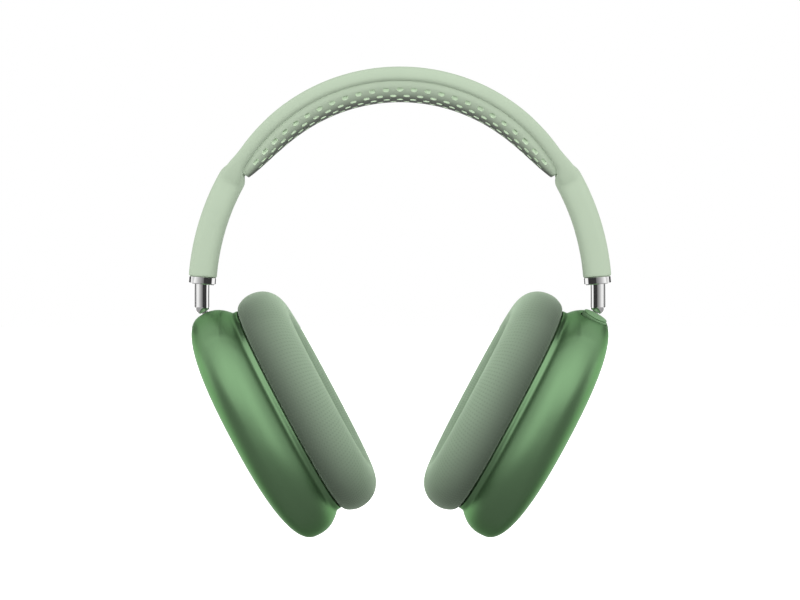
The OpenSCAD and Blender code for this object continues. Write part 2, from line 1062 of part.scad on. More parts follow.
module charge_port() {
    color(STEEL)
        in_cup()
            translate([shell_waist, 0, -cup_h / 2 + 0.2])
                difference() {
                    linear_extrude(port_deep)
                        pill(port_l, port_w);
                    translate([0, 0, -1])
                        linear_extrude(port_deep)
                            pill(port_l - 2 * port_wall, port_w - 2 * port_wall);
                }
}

module port_tongue() {
    color(DARK)
        in_cup()
            translate([shell_waist, 0, -cup_h / 2 + 1.2])
                translate([-0.35, -3.3, 0])
                    cube([0.7, 6.6, 6]);
}

band_frame();
head_pad();
leg_tube(-1);  // leg_tube_left
leg_tube(1);  // leg_tube_right
guide_bush(-1);  // guide_bush_left
guide_bush(1);  // guide_bush_right
collar(-1);  // collar_left
collar(1);  // collar_right
arm(-1);  // arm_left
arm(1);  // arm_right
arm_stop(-1);  // arm_stop_left
arm_stop(1);  // arm_stop_right
tilt_pin(-1);  // tilt_pin_left
tilt_pin(1);  // tilt_pin_right
tilt_spring(-1);  // tilt_spring_left
tilt_spring(1);  // tilt_spring_right
tilt_plunger(-1);  // tilt_plunger_left
tilt_plunger(1);  // tilt_plunger_right
pivot_post(-1);  // pivot_post_left
pivot_post(1);  // pivot_post_right
post_clip(-1);  // post_clip_left
post_clip(1);  // post_clip_right
cup_shell(-1);  // cup_shell_left
cup_shell(1);  // cup_shell_right
pivot_housing(-1);  // pivot_housing_left
pivot_housing(1);  // pivot_housing_right
swivel_bush(-1);  // swivel_bush_left
swivel_bush(1);  // swivel_bush_right
baffle(-1);  // baffle_left
baffle(1);  // baffle_right
cushion_magnets(-1);  // cushion_magnets_left
cushion_magnets(1);  // cushion_magnets_right
speaker_frame(-1);  // speaker_frame_left
speaker_frame(1);  // speaker_frame_right
speaker_magnet(-1);  // speaker_magnet_left
speaker_magnet(1);  // speaker_magnet_right
speaker_grille(-1);  // speaker_grille_left
speaker_grille(1);  // speaker_grille_right
diaphragm(-1);  // diaphragm_left
diaphragm(1);  // diaphragm_right
voice_coil(-1);  // voice_coil_left
voice_coil(1);  // voice_coil_right
circuit_board(-1);  // circuit_board_left
circuit_board(1);  // circuit_board_right
battery_left();
cushion_plate(-1);  // cushion_plate_left
cushion_plate(1);  // cushion_plate_right
cushion(-1);  // cushion_left
cushion(1);  // cushion_right
cushion_screen(-1);  // cushion_screen_left
cushion_screen(1);  // cushion_screen_right
dial_knob();
dial_bezel();
dial_plunger();
dial_encoder();
mode_button();
button_switch();
charge_port();
port_tongue();
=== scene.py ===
"""Over-ear headset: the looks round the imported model, laid out as an add-on."""

import json
import math

import bmesh
import bpy
from bpy.props import FloatProperty, FloatVectorProperty, IntProperty, PointerProperty
from mathutils import Matrix, Vector


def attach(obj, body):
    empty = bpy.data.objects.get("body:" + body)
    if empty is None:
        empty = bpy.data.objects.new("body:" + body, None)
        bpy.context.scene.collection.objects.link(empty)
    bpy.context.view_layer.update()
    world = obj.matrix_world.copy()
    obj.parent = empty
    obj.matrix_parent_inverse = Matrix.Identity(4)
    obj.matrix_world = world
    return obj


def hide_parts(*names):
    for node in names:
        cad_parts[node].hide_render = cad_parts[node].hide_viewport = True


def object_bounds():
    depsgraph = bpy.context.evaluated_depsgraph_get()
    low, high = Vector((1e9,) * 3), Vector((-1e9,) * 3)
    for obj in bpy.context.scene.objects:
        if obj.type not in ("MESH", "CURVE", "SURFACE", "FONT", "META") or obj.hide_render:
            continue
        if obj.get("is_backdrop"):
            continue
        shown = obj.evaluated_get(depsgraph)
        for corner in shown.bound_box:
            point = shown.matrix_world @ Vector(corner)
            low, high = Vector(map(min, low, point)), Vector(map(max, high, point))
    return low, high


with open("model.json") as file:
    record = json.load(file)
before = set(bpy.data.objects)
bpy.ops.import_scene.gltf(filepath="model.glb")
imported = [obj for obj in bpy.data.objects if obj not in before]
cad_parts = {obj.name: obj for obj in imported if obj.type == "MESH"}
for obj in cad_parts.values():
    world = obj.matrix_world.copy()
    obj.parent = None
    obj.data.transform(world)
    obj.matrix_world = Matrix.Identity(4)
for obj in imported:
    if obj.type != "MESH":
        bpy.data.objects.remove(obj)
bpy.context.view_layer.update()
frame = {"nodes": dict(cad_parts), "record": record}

bl_info = {
    "name": "Over-ear headset",
    "version": (1, 0, 0),
    "blender": (4, 5, 0),
    "location": "3D View > Sidebar > Headset",
    "description": "Builds a headset with a forked band, a slotted pad, sliding arms and cushioned cups",
    "category": "Add Mesh",
}

MM = 0.001
SIDES = {"left": -1, "right": 1}


def length(name, description, default):
    """A size in metres."""
    return FloatProperty(name=name, description=description, default=default, unit="LENGTH", precision=5)


def angle(name, description, default):
    """An angle, with its default in degrees."""
    return FloatProperty(name=name, description=description, default=math.radians(default), subtype="ANGLE")


def tint(name, description, default):
    """A colour."""
    return FloatVectorProperty(
        name=name, description=description, default=default, size=3, min=0, max=1, subtype="COLOR"
    )


class BandSettings(bpy.types.PropertyGroup):
    rail_radius: length("Rail radius", "Radius of the rails' centre line over the head", 0.0766)
    rail_centre: length("Rail centre", "Height of the centre of the rails' curve", -0.0678)
    rail_spread: length("Rail spread", "From the middle to each rail at the crown", 0.0205)
    rail_width: length("Rail thickness", "Thickness of a rail, square to the head", 0.0055)
    rail_depth: length("Rail depth", "Width of a rail, front to back", 0.0066)
    leg_width: length("Leg diameter", "Diameter of a leg below the fork", 0.0111)
    leg_radius: length("Leg radius", "Radius of a leg's centre line", 0.0958)
    leg_angle: angle("Leg angle", "Angle from the crown at which a leg's curve begins", 60)
    voxel: length("Skin grain", "Size of the squares that the fork is blended with", 0.00045)
    colour: tint("Band colour", "Soft-touch skin of the band", (0.39, 0.473, 0.36))


class PadSettings(bpy.types.PropertyGroup):
    wall: length("Pad wall", "Thickness of the moulded pad", 0.0014)
    curl: length("End curl", "How far the ends of the pad curl up", 0.0033)
    reach: angle("Pad reach", "Angle from the crown at which the pad ends", 58.3)
    openings: IntProperty(name="Openings", description="Openings in each of the longer rows", default=25)
    opening_width: length("Opening width", "Width of an opening, front to back", 0.0030)
    colour: tint("Pad colour", "Moulded skin of the head pad", (0.455, 0.546, 0.421))


class CupSettings(bpy.types.PropertyGroup):
    lean: angle("Lean", "Lean of a cup's long axis from upright", 28)
    height: length("Cup height", "Height of a cup along its long axis", 0.0994)
    depth: length("Cup width", "Width of a cup, front to back", 0.0836)
    thickness: length("Shell thickness", "Thickness of the hard shell", 0.0238)
    waist: length("Widest section", "From the seam to the shell's widest section", 0.0113)
    tuck: length("Tuck", "How far the shell tucks in at the seam", 0.0064)
    wall: length("Wall", "Wall of the shell", 0.0019)
    colour: tint("Shell colour", "Anodised green of the shells and controls", (0.163, 0.286, 0.150))


class CushionSettings(bpy.types.PropertyGroup):
    height: length("Cushion height", "Height along the cup's long axis", 0.0962)
    depth: length("Cushion width", "Width of the cushion, front to back", 0.0804)
    thickness: length("Cushion thickness", "Thickness of the cushion from the seam", 0.0195)
    crest: length("Crest", "From the cushion's side in to its crest", 0.012)
    lip: length("Lip", "From the crest in to the ear opening", 0.0062)
    pressure: FloatProperty(name="Filling", description="Pressure of the foam on the cloth", default=4.0)
    colour: tint("Knit colour", "Knitted cover of the cushions", (0.30, 0.41, 0.285))


class StageSettings(bpy.types.PropertyGroup):
    floor_drop: length("Floor drop", "How far the floor lies below the headset", 0.11)
    camera_distance: length("Camera distance", "From the headset to the camera", 0.8)
    camera_height: length("Camera height", "Height that the camera looks at", -0.0794)
    level: FloatProperty(name="Light level", description="Strength of the studio's light", default=1.0)
    bounce: FloatProperty(name="Floor bounce", description="Shade of the floor that metal mirrors", default=0.3)


SETTINGS = {
    "headset_band": BandSettings,
    "headset_pad": PadSettings,
    "headset_cup": CupSettings,
    "headset_cushion": CushionSettings,
    "headset_stage": StageSettings,
}


def settings(name):
    """One of the scene's groups of settings, by its short name."""
    return getattr(bpy.context.scene, "headset_" + name)


# ---- materials ----


def shade(colour, amount):
    """A deeper or paler tone of a colour."""
    return tuple(min(1.0, c * amount) for c in colour)


def grey(tone):
    return (tone, tone, tone)


class Wire:
    """A node's output that takes part in sums; each sum adds its Math node."""

    def __init__(self, finish, socket):
        self.finish = finish
        self.socket = socket

    def math(self, operation, *values):
        return self.finish.add("Math", {"operation": operation}, dict(enumerate(values)))

    def __add__(self, other):
        return self.math("ADD", self, other)

    def __sub__(self, other):
        return self.math("SUBTRACT", self, other)

    def __rsub__(self, other):
        return self.math("SUBTRACT", other, self)

    def __mul__(self, other):
        return self.math("MULTIPLY", self, other)

    __radd__ = __add__
    __rmul__ = __mul__

    def sine(self):
        return self.math("SINE", self)

    def exponential(self):
        return self.math("EXPONENT", self)

    def above(self, limit, soft):
        """0 below the limit and 1 above it, eased over the soft width."""
        return self.finish.add(
            "MapRange",
            {"interpolation_type": "SMOOTHSTEP"},
            {"Value": self, "From Min": limit - soft, "From Max": limit + soft},
        )


class Finish:
    """The nodes of a new material, or of the world."""

    def __init__(self, owner):
        if isinstance(owner, str):
            owner = bpy.data.materials.new(owner)
        owner.use_nodes = True
        self.material = owner
        self.tree = owner.node_tree
        self.tree.nodes.clear()

    def add(self, kind, choices=None, inputs=None, output=0):
        """Adds a node, makes its choices, fills or links its inputs, and returns one of its outputs."""
        node = self.tree.nodes.new("ShaderNode" + kind)
        for key, value in (choices or {}).items():
            setattr(node, key, value)
        for key, value in (inputs or {}).items():
            if isinstance(value, Wire):
                self.tree.links.new(value.socket, node.inputs[key])
            else:
                node.inputs[key].default_value = value
        return Wire(self, node.outputs[output]) if node.outputs else None

    def mix(self, factor, first, second):
        """Goes from the first colour to the second; a Mix node's sockets for colours are 6, 7 and 2."""
        pair = {0: factor}
        for place, colour in ((6, first), (7, second)):
            pair[place] = colour if isinstance(colour, Wire) else (*colour, 1)
        return self.add("Mix", {"data_type": "RGBA"}, pair, 2)

    def mottle(self, factor, colour, low, high):
        """Goes from a deeper to a paler shade of one colour."""
        return self.mix(factor, shade(colour, low), shade(colour, high))

    def place(self):
        """Object coordinates, a Texture Coordinate node's output 3."""
        return self.add("TexCoord", output=3)

    def split(self, vector):
        """The three numbers of a vector."""
        node = self.add("SeparateXYZ", inputs={"Vector": vector}).socket.node
        return [Wire(self, socket) for socket in node.outputs]

    def own_map(self, name):
        """The two numbers of one of the piece's own maps."""
        return self.split(self.add("UVMap", {"uv_map": name}))[:2]

    def noise(self, scale, detail=2.0, where=None):
        return self.add("TexNoise", inputs={"Vector": where or self.place(), "Scale": scale, "Detail": detail})

    def drawn_noise(self, scale, detail, stretch):
        """Noise that is drawn out along Z, as the marks on drawn or brushed metal are."""
        where = self.add("Mapping", inputs={"Vector": self.place(), "Scale": (1, 1, stretch)})
        return self.noise(scale, detail, where)

    def cells(self, feature, scale):
        return self.add("TexVoronoi", {"feature": feature}, {"Vector": self.place(), "Scale": scale})

    def bump(self, height, distance, strength):
        return self.add("Bump", inputs={"Height": height, "Distance": distance, "Strength": strength})

    def surface(self, **inputs):
        """Closes the material with one Principled shader."""
        sockets = {key.replace("_", " "): value for key, value in inputs.items()}
        for key in ("Base Color", "Sheen Tint", "Specular Tint"):
            if key in sockets and not isinstance(sockets[key], Wire):
                sockets[key] = (*sockets[key], 1)
        shader = self.add("BsdfPrincipled", inputs=sockets)
        self.add("OutputMaterial", inputs={"Surface": shader})
        return self.material


# Marks and grains, in features to the metre.
HANDLING = 60
SMEARS = 240
HAIRLINES = 3000
BRUSH_LINES = 900
SKIN_GRAIN = 4200
MOULD_GRAIN = 2600
BLAST_GRAIN = 5200.0
COPPER_TRACKS = 420.0

# Depths of relief, in metres.
FINE_RELIEF = 0.00002
BRUSH_RELIEF = 0.00001
BLAST_RELIEF = 0.000012
KNIT_RELIEF = 0.00006
WEAVE_RELIEF = 0.00012

# The knit's pitch, and where on its map its painted shade towards the seam fades out, in millimetres; the screen's
# pitch, in metres.
KNIT_PITCH = 1.15
KNIT_SEAM_SHADE = (14.5, 14.0)
WEAVE_PITCH = 0.0009

# On the pad's map: the limit and width of the turn out of the painted shade to the full tone, and of the turn to
# the painted highlight on a cut wall.
PAD_PAINTED_SHADE = (0.62, 0.36)
PAD_CUT_PAINTED_HIGHLIGHT = (1.5, 0.1)

EDGE_GREEN = (0.44, 0.61, 0.42)
FUZZ_GREEN = (0.55, 0.70, 0.52)


def elastomer(f, cloud, tone):
    """The matte skin of the band and the head pad: very fine grain and faint marks of handling."""
    return f.surface(
        Base_Color=tone,
        Roughness=0.62 + cloud * 0.1,
        Normal=f.bump(f.noise(SKIN_GRAIN), FINE_RELIEF, 0.5),
        Specular_IOR_Level=0.08,
    )


def soft_touch(name, colour):
    """Silicone-like skin of one tone."""
    f = Finish(name)
    cloud = f.noise(HANDLING, 3)
    return elastomer(f, cloud, f.mottle(cloud, colour, 0.96, 1.04))


def pad_skin(name, colour):
    """The head pad's skin, with painted shade that deepens its tone towards the middle of its underside, and a
    painted highlight that makes it pale where it is cut.
    """
    f = Finish(name)
    cloud = f.noise(HANDLING, 3)
    out = f.own_map("mould")[1]
    # Painted shade: the underside darkens towards its middle, where it faces down, away from the light.
    skin = f.mix(out.above(*PAD_PAINTED_SHADE), shade(colour, 0.13), f.mottle(cloud, colour, 0.96, 1.04))
    # Painted highlight: the cut walls of the openings are paler, as if lit from above.
    return elastomer(f, cloud, f.mix(out.above(*PAD_CUT_PAINTED_HIGHLIGHT), skin, shade(colour, 1.45)))


def polished(name):
    """Polished stainless steel with hairline wear."""
    f = Finish(name)
    smear = f.noise(SMEARS, 4)
    scratch = f.drawn_noise(HAIRLINES, 2, 0.04)
    return f.surface(
        Base_Color=f.mix(smear, (0.86, 0.86, 0.86), (0.93, 0.93, 0.92)),
        Metallic=1.0,
        Roughness=0.035 + smear * 0.03 + scratch.above(0.68, 0.05) * 0.03,
    )


def brushed(name, colour, rough):
    """Turned or brushed metal."""
    f = Finish(name)
    streak = f.drawn_noise(BRUSH_LINES, 3, 0.1)
    return f.surface(
        Base_Color=f.mottle(streak, colour, 0.85, 1.1),
        Metallic=1.0,
        Roughness=rough + streak * 0.15,
        Normal=f.bump(streak, BRUSH_RELIEF, 0.4),
    )


def moulded(name, colour, rough):
    """Moulded plastic with a fine spark-eroded grain."""
    f = Finish(name)
    grain = f.noise(MOULD_GRAIN, 3)
    return f.surface(
        Base_Color=f.mottle(f.noise(80), colour, 0.85, 1.15),
        Roughness=rough + grain * 0.12,
        Normal=f.bump(grain, FINE_RELIEF, 0.4),
    )


def blasted(name, colour, rough=0.36, metal=1.0):
    """Bead-blasted and anodised aluminium."""
    f = Finish(name)
    grain = f.cells("F1", BLAST_GRAIN)
    return f.surface(
        Base_Color=f.mottle(f.noise(25), colour, 0.95, 1.05),
        Metallic=metal,
        Specular_Tint=EDGE_GREEN,
        Roughness=rough + grain * 0.08,
        Normal=f.bump(grain, BLAST_RELIEF, 0.6),
    )


def knit(name, colour):
    """Fine warp-knit mesh on the piece's own cloth map, with darker holes, and painted shade that deepens its tone
    towards the seam.
    """
    f = Finish(name)
    around, across = f.own_map("cloth")
    turn = math.tau / KNIT_PITCH
    stitch = (around * turn).sine() * ((across * turn * 0.9).sine() * 0.55 + 0.45)
    rib = ((around * 0.5 + across * 0.45) * turn * 2).sine()
    hole = stitch.above(0.25, 0.35)
    # Painted shade: the cover darkens towards its back at the seam, beside the shell, where less light falls.
    drawn = 1 - across.above(*KNIT_SEAM_SHADE)
    seam_shaded_knit = f.mix(drawn, f.mottle(f.noise(45, 3), colour, 0.94, 1.06), shade(colour, 0.2))
    return f.surface(
        Base_Color=f.mix(hole * 0.28, seam_shaded_knit, shade(colour, 0.3)),
        Roughness=0.85,
        Normal=f.bump(rib * 0.2 - hole, KNIT_RELIEF, 0.7),
        Sheen_Weight=0.7,
        Sheen_Roughness=0.42,
        Sheen_Tint=FUZZ_GREEN,
    )


def open_weave(name, colour):
    """Thin acoustic cloth over the ear opening."""
    f = Finish(name)
    _, along, up = f.split(f.place())
    turn = math.tau / WEAVE_PITCH
    thread = (up * turn).sine() * (along * turn).sine()
    return f.surface(
        Base_Color=f.mix(thread.above(0.1, 0.4), colour, shade(colour, 0.35)),
        Roughness=0.9,
        Normal=f.bump(thread, WEAVE_RELIEF, 0.8),
    )


def board(name, colour):
    """Solder mask with copper that shows through in patches."""
    f = Finish(name)
    track = f.cells("DISTANCE_TO_EDGE", COPPER_TRACKS)
    return f.surface(
        Base_Color=f.mix(track.above(0.09, 0.02), (0.16, 0.20, 0.05), colour),
        Roughness=0.35,
        Normal=f.bump(track, FINE_RELIEF, 0.4),
    )


made_finishes = {}


def finish_of(slot):
    """The material of a slot of the record, made once."""
    green = settings("cup").colour
    makers = {
        "soft_touch_sage": lambda n: soft_touch(n, settings("band").colour),
        "pad_sage": lambda n: pad_skin(n, settings("pad").colour),
        "polished_steel": polished,
        "steel": lambda n: brushed(n, (0.62, 0.62, 0.61), 0.28),
        "brass": lambda n: brushed(n, (0.62, 0.47, 0.22), 0.24),
        "black_plastic": lambda n: moulded(n, (0.022, 0.023, 0.024), 0.5),
        "anodised_green": lambda n: blasted(n, green),
        "cone": lambda n: moulded(n, (0.05, 0.05, 0.055), 0.35),
        "circuit": lambda n: board(n, (0.012, 0.06, 0.03)),
        "knit_green": lambda n: knit(n, settings("cushion").colour),
        "screen": lambda n: open_weave(n, (0.10, 0.13, 0.10)),
        "knurled_green": lambda n: blasted(n, shade(green, 1.25), 0.42, 0.6),
        "ring": lambda n: moulded(n, shade(green, 1.15), 0.42),
    }
    if slot not in made_finishes:
        made_finishes[slot] = makers[slot](slot + "_finish")
    return made_finishes[slot]


# ---- mesh helpers ----

WELD = 1e-7
ROUND_SIDES = 64


def steps_between(start, end, count):
    """Evenly spaced values from the start to the end, with both."""
    return [start + (end - start) * i / count for i in range(count + 1)]


def ease(t):
    """0 up to 0 and 1 from 1 on, with a smooth rise between."""
    t = min(max(t, 0.0), 1.0)
    return t * t * (3 - 2 * t)


def turns(sides):
    """Angles evenly round a circle."""
    return [math.tau * i / sides for i in range(sides)]


def circle(radius, sides):
    """Points evenly round a circle."""
    return [(radius * math.cos(t), radius * math.sin(t)) for t in turns(sides)]


def squared(t, power):
    """Cosine and sine of an angle, drawn out towards the corners of a square."""
    return [math.copysign(abs(k) ** (2 / power), k) for k in (math.cos(t), math.sin(t))]


def lengths_round(points):
    """Lengths of the closed line through the points, from the first to each and back to the first."""
    reach = [0.0]
    for a, b in zip(points, points[1:] + points[:1]):
        reach.append(reach[-1] + math.dist(a, b))
    return reach


def edges_of(verts):
    """The edges that meet the vertices, each once and in the vertices' order."""
    return list(dict.fromkeys(e for v in verts for e in v.link_edges))


def put_points(loop, points, place, start):
    """Moves a loop's vertices to their points, and numbers them where a layer for that is given."""
    for i, (vert, point) in enumerate(zip(loop, points)):
        vert.co = point
        if place:
            vert[place] = start + i


def sweep(bm, rings, place=None):
    """Draws a closed loop through rings of points and returns the first and last loops of vertices."""
    loop = bmesh.ops.create_circle(bm, segments=len(rings[0]), radius=1)["verts"]
    loop.sort(key=lambda v: math.atan2(v.co.y, v.co.x) % math.tau)
    first = loop
    edges = edges_of(loop)
    put_points(loop, rings[0], place, 0)
    for number, ring in enumerate(rings[1:], 1):
        turn = {v.co.copy().freeze(): i for i, v in enumerate(loop)}
        made = bmesh.ops.extrude_edge_only(bm, edges=edges)["geom"]
        fresh = [g for g in made if isinstance(g, bmesh.types.BMVert)]
        fresh.sort(key=lambda v: turn[v.co.copy().freeze()])
        known = set(fresh)
        edges = [g for g in made if isinstance(g, bmesh.types.BMEdge) and set(g.verts) <= known]
        loop = fresh
        put_points(loop, ring, place, number * len(ring))
    return first, loop


def closed_sweep(bm, rings):
    """Draws a solid bar through rings of points."""
    for loop in sweep(bm, rings):
        bmesh.ops.contextual_create(bm, geom=loop + [e for e in edges_of(loop) if e.is_boundary])


def bar(rings, place):
    """The mesh of a solid bar through rings of points, put in its place."""
    bm = bmesh.new()
    closed_sweep(bm, rings)
    bmesh.ops.transform(bm, matrix=place, verts=bm.verts)
    return bm


def spun(bm, outline, steps):
    """Turns an outline of (radius, height) points once round the Z axis."""
    verts = [bm.verts.new((r, 0, z)) for r, z in outline]
    edges = [bm.edges.new(pair) for pair in zip(verts, verts[1:])]
    bmesh.ops.spin(
        bm, geom=verts + edges, cent=(0, 0, 0), axis=(0, 0, 1), angle=math.tau, steps=steps, use_merge=True
    )
    bmesh.ops.remove_doubles(bm, verts=bm.verts, dist=WELD)


def in_order(bm):
    """Sorts a mesh's elements by place, because the operators' own order changes from run to run."""
    ranks = (
        (bm.verts, lambda v: tuple(v.co)),
        (bm.edges, lambda e: sorted(v.index for v in e.verts)),
        (bm.faces, lambda f: sorted(v.index for v in f.verts)),
    )
    for elements, rank in ranks:
        for i, element in enumerate(sorted(elements, key=rank)):
            element.index = i
        elements.sort()


def to_object(name, bm):
    """Ends the modelling of a mesh and puts it in the scene."""
    mesh = bpy.data.meshes.new(name)
    bm.to_mesh(mesh)
    bm.free()
    obj = bpy.data.objects.new(name, mesh)
    bpy.context.scene.collection.objects.link(obj)
    return obj


def bake_modifiers(obj):
    """Turns what the modifiers make into the piece's own mesh."""
    graph = bpy.context.evaluated_depsgraph_get()
    mesh = bpy.data.meshes.new_from_object(obj.evaluated_get(graph))
    obj.modifiers.clear()
    old, obj.data = obj.data, mesh
    mesh.name = obj.name
    bpy.data.meshes.remove(old)


def carve(obj, *cutters):
    """Takes each cutter's shape out of the piece."""
    for bm in cutters:
        in_order(bm)
        bmesh.ops.recalc_face_normals(bm, faces=bm.faces)
        tool = to_object("cutter", bm)
        cut = obj.modifiers.new("cut", "BOOLEAN")
        cut.operation, cut.solver, cut.object = "DIFFERENCE", "EXACT", tool
        bake_modifiers(obj)
        bpy.data.meshes.remove(tool.data)


def edit(obj):
    """A piece's mesh, opened again for modelling."""
    bm = bmesh.new()
    bm.from_mesh(obj.data)
    return bm


def put_back(obj, bm):
    """Ends the modelling of a mesh that was opened again."""
    bm.to_mesh(obj.data)
    bm.free()


def smooth_shading(obj, limit):
    """Smooth faces, with a crease wherever two of them meet at more than the limit."""
    bm = edit(obj)
    for face in bm.faces:
        face.smooth = True
    for edge in bm.edges:
        edge.smooth = len(edge.link_faces) != 2 or edge.calc_face_angle(0) < limit
    put_back(obj, bm)


def round_off(obj, levels):
    """Smooth faces and a live subdivision."""
    fine = obj.modifiers.new("round", "SUBSURF")
    fine.levels = fine.render_levels = levels
    for face in obj.data.polygons:
        face.use_smooth = True


def dress(obj, slot, body, node, finish=None):
    """Gives a finished piece its material, the body that it rides on and the node that it stands for."""
    obj.data.materials.clear()
    obj.data.materials.append(finish_of(finish or slot))
    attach(obj, body)
    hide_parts(node)


def mirrored(bm, side):
    """Puts a right-hand piece's mesh on the side it is for, faces outward."""
    if side < 0:
        bmesh.ops.scale(bm, vec=(-1, 1, 1), verts=bm.verts)
    bmesh.ops.recalc_face_normals(bm, faces=bm.faces)


# ---- band ----

BAND_SIDES = 32
BAND_POWER = 3.0
BAND_CREASE = math.radians(50)

# The fork, by length along the band from the crown. A run is where a form starts and ends to grow.
FORK_END = 0.086
FORK_CURVE = (2.6, 0.85)
WIDEN_FROM = 0.070
RAIL_LAST = 0.0845
RAIL_GROW = (0.0016, 0.001)
WEB_SIZE = (0.0023, 0.009)
WEB_OUTER = (0.0725, 0.0815)
WEB_INNER = (0.0755, 0.0818)
LEG_FROM = 0.0855
RAIL_STEPS = (30, 12)
LEG_STEPS = (12, 16)

# Where the blended skin is smoothed, and how often: the fork by X and Z, and all above the foot's edge.
FORK_X = (0.050, 0.0745)
FORK_Z = (-0.052, -0.008)
FORK_ROUNDS = 14
FOOT_EDGE = 0.0006
SKIN_ROUNDS = 3

# The hole for a leg's tube, by angle from the crown.
LEG_FOOT = math.radians(85.6)
TUBE_TOP = math.radians(63.3)
TUBE_PAST = 0.02
TUBE_RADIUS = 0.0051
TUBE_STEPS = 14
TUBE_SIDES = 48


class BandCurve:
    """The band's centre line, by length from the crown."""

    def __init__(self):
        s = settings("band")
        self.radius, self.centre, self.leg_radius = s.rail_radius, s.rail_centre, s.leg_radius
        self.bend = s.leg_angle
        self.rail_end = self.radius * self.bend
        self.leg_x = (self.radius - self.leg_radius) * math.sin(self.bend)
        self.leg_z = self.centre + (self.radius - self.leg_radius) * math.cos(self.bend)
        self.end = self.rail_end + self.leg_radius * (LEG_FOOT - self.bend)

    def at(self, place, out=0.0):
        """Angle from the crown, x and z, on the right-hand side, a distance out from the centre line."""
        if place < self.rail_end:
            a, r, x, z = place / self.radius, self.radius, 0.0, self.centre
        else:
            a = self.bend + (place - self.rail_end) / self.leg_radius
            r, x, z = self.leg_radius, self.leg_x, self.leg_z
        return a, x + (r + out) * math.sin(a), z + (r + out) * math.cos(a)

    def spread(self, place):
        """Distance of a rail from the middle plane."""
        if place >= FORK_END:
            return 0.0
        power, root = FORK_CURVE
        return settings("band").rail_spread * (1 - (place / FORK_END) ** power) ** root

    def ring(self, place, outer, inner, depth, y):
        """Points round the band at a place, from its half thicknesses outward and inward and its depth."""
        hand = -1 if place < 0 else 1
        points = []
        for t in turns(BAND_SIDES):
            out, across = squared(t, BAND_POWER)
            _, x, z = self.at(abs(place), (outer if out > 0 else inner) * out)
            points.append(Vector((hand * x, y + depth / 2 * across, z)))
        return points


def grown_over(start, end, place):
    """How far a form has grown at a place on its run."""
    return ease((place - start) / (end - start))


def relax(bm, verts, rounds):
    """Smooths the vertices so many times."""
    for _ in range(rounds):
        bmesh.ops.smooth_vert(bm, verts=verts, factor=0.5, use_axis_x=True, use_axis_y=True, use_axis_z=True)


class HEADSET_OT_band(bpy.types.Operator):
    """Blend the two rails and the legs into one soft-touch skin"""

    bl_idname = "headset.band"
    bl_label = "Band"

    def rails(self, bm, s, curve):
        """The two rails over the head, a little fuller towards the fork."""
        crown, fork = RAIL_STEPS
        half = steps_between(0, WIDEN_FROM, crown)[:-1] + steps_between(WIDEN_FROM, RAIL_LAST, fork)
        places = [-p for p in reversed(half[1:])] + half
        for side in SIDES.values():
            rings = []
            for place in places:
                away = abs(place)
                outer = s.rail_width / 2 + RAIL_GROW[0] * grown_over(WIDEN_FROM, WEB_OUTER[1], away)
                inner = s.rail_width / 2 + RAIL_GROW[0] * grown_over(*WEB_INNER, away)
                depth = s.rail_depth + RAIL_GROW[1] * grown_over(WIDEN_FROM, RAIL_LAST, away)
                rings.append(curve.ring(place, outer, inner, depth, side * curve.spread(away)))
            closed_sweep(bm, rings)

    def legs(self, bm, s, curve):
        """The web between the rails' ends on each side, which grows into a round leg."""
        web_from = WEB_OUTER[0]
        thin, deep = WEB_SIZE
        fork, leg = LEG_STEPS
        places = steps_between(web_from, LEG_FROM, fork)[:-1] + steps_between(LEG_FROM, curve.end, leg)
        for side in SIDES.values():
            rings = []
            for place in places:
                outer = thin + (s.leg_width / 2 - thin) * grown_over(*WEB_OUTER, place)
                inner = thin + (s.leg_width / 2 - thin) * grown_over(*WEB_INNER, place)
                depth = deep + (s.leg_width - deep) * grown_over(web_from, LEG_FROM, place)
                rings.append(curve.ring(side * place, outer, inner, depth, 0))
            closed_sweep(bm, rings)

    def bore(self, side, curve):
        """The hole up a leg that its tube sits in."""
        bm = bmesh.new()
        rings = []
        for a in steps_between(TUBE_TOP, LEG_FOOT + TUBE_PAST, TUBE_STEPS):
            ring = []
            for out, across in circle(TUBE_RADIUS, TUBE_SIDES):
                r = curve.leg_radius + out
                x, z = curve.leg_x + r * math.sin(a), curve.leg_z + r * math.cos(a)
                ring.append(Vector((side * x, across, z)))
            rings.append(ring)
        closed_sweep(bm, rings)
        return bm

    def execute(self, context):
        s, curve = settings("band"), BandCurve()
        bm = bmesh.new()
        self.rails(bm, s, curve)
        self.legs(bm, s, curve)
        bmesh.ops.recalc_face_normals(bm, faces=bm.faces)
        band = to_object("band_skin", bm)
        grid = band.modifiers.new("blend", "REMESH")
        grid.mode, grid.voxel_size = "VOXEL", s.voxel
        bake_modifiers(band)
        bm = edit(band)
        (near, far), (low, high) = FORK_X, FORK_Z
        relax(bm, [v for v in bm.verts if near < abs(v.co.x) < far and low < v.co.z < high], FORK_ROUNDS)
        foot = curve.at(curve.end)[2] + FOOT_EDGE
        relax(bm, [v for v in bm.verts if v.co.z > foot], SKIN_ROUNDS)
        put_back(band, bm)
        carve(band, *(self.bore(side, curve) for side in SIDES.values()))
        smooth_shading(band, BAND_CREASE)
        dress(band, "soft_touch_sage", "headband", "band_frame")
        return {"FINISHED"}


# ---- head pad ----

# Rows and hem are given in parts of half the pad's width, from its middle.
PAD_ROWS = range(-3, 4)
ROW_PITCH = 0.28
HEM = (-1.0, -0.997, -0.982, -0.945)
END_LINES = 3
PLAIN_END = math.radians(4.2)
CURL_POWER = 9
EDGE_LIFT = 0.0003
OPENING_HEM = 0.00006
OPENING_TURN = 0.8
OPENING_CREASE = 0.45
NARROWEST = 0.001

# What the pad's map says on a cut wall and on top. Over the underside it runs from 0 in the middle to 1.
CUT_WALL = 2.0
TOP_FACE = 1.0


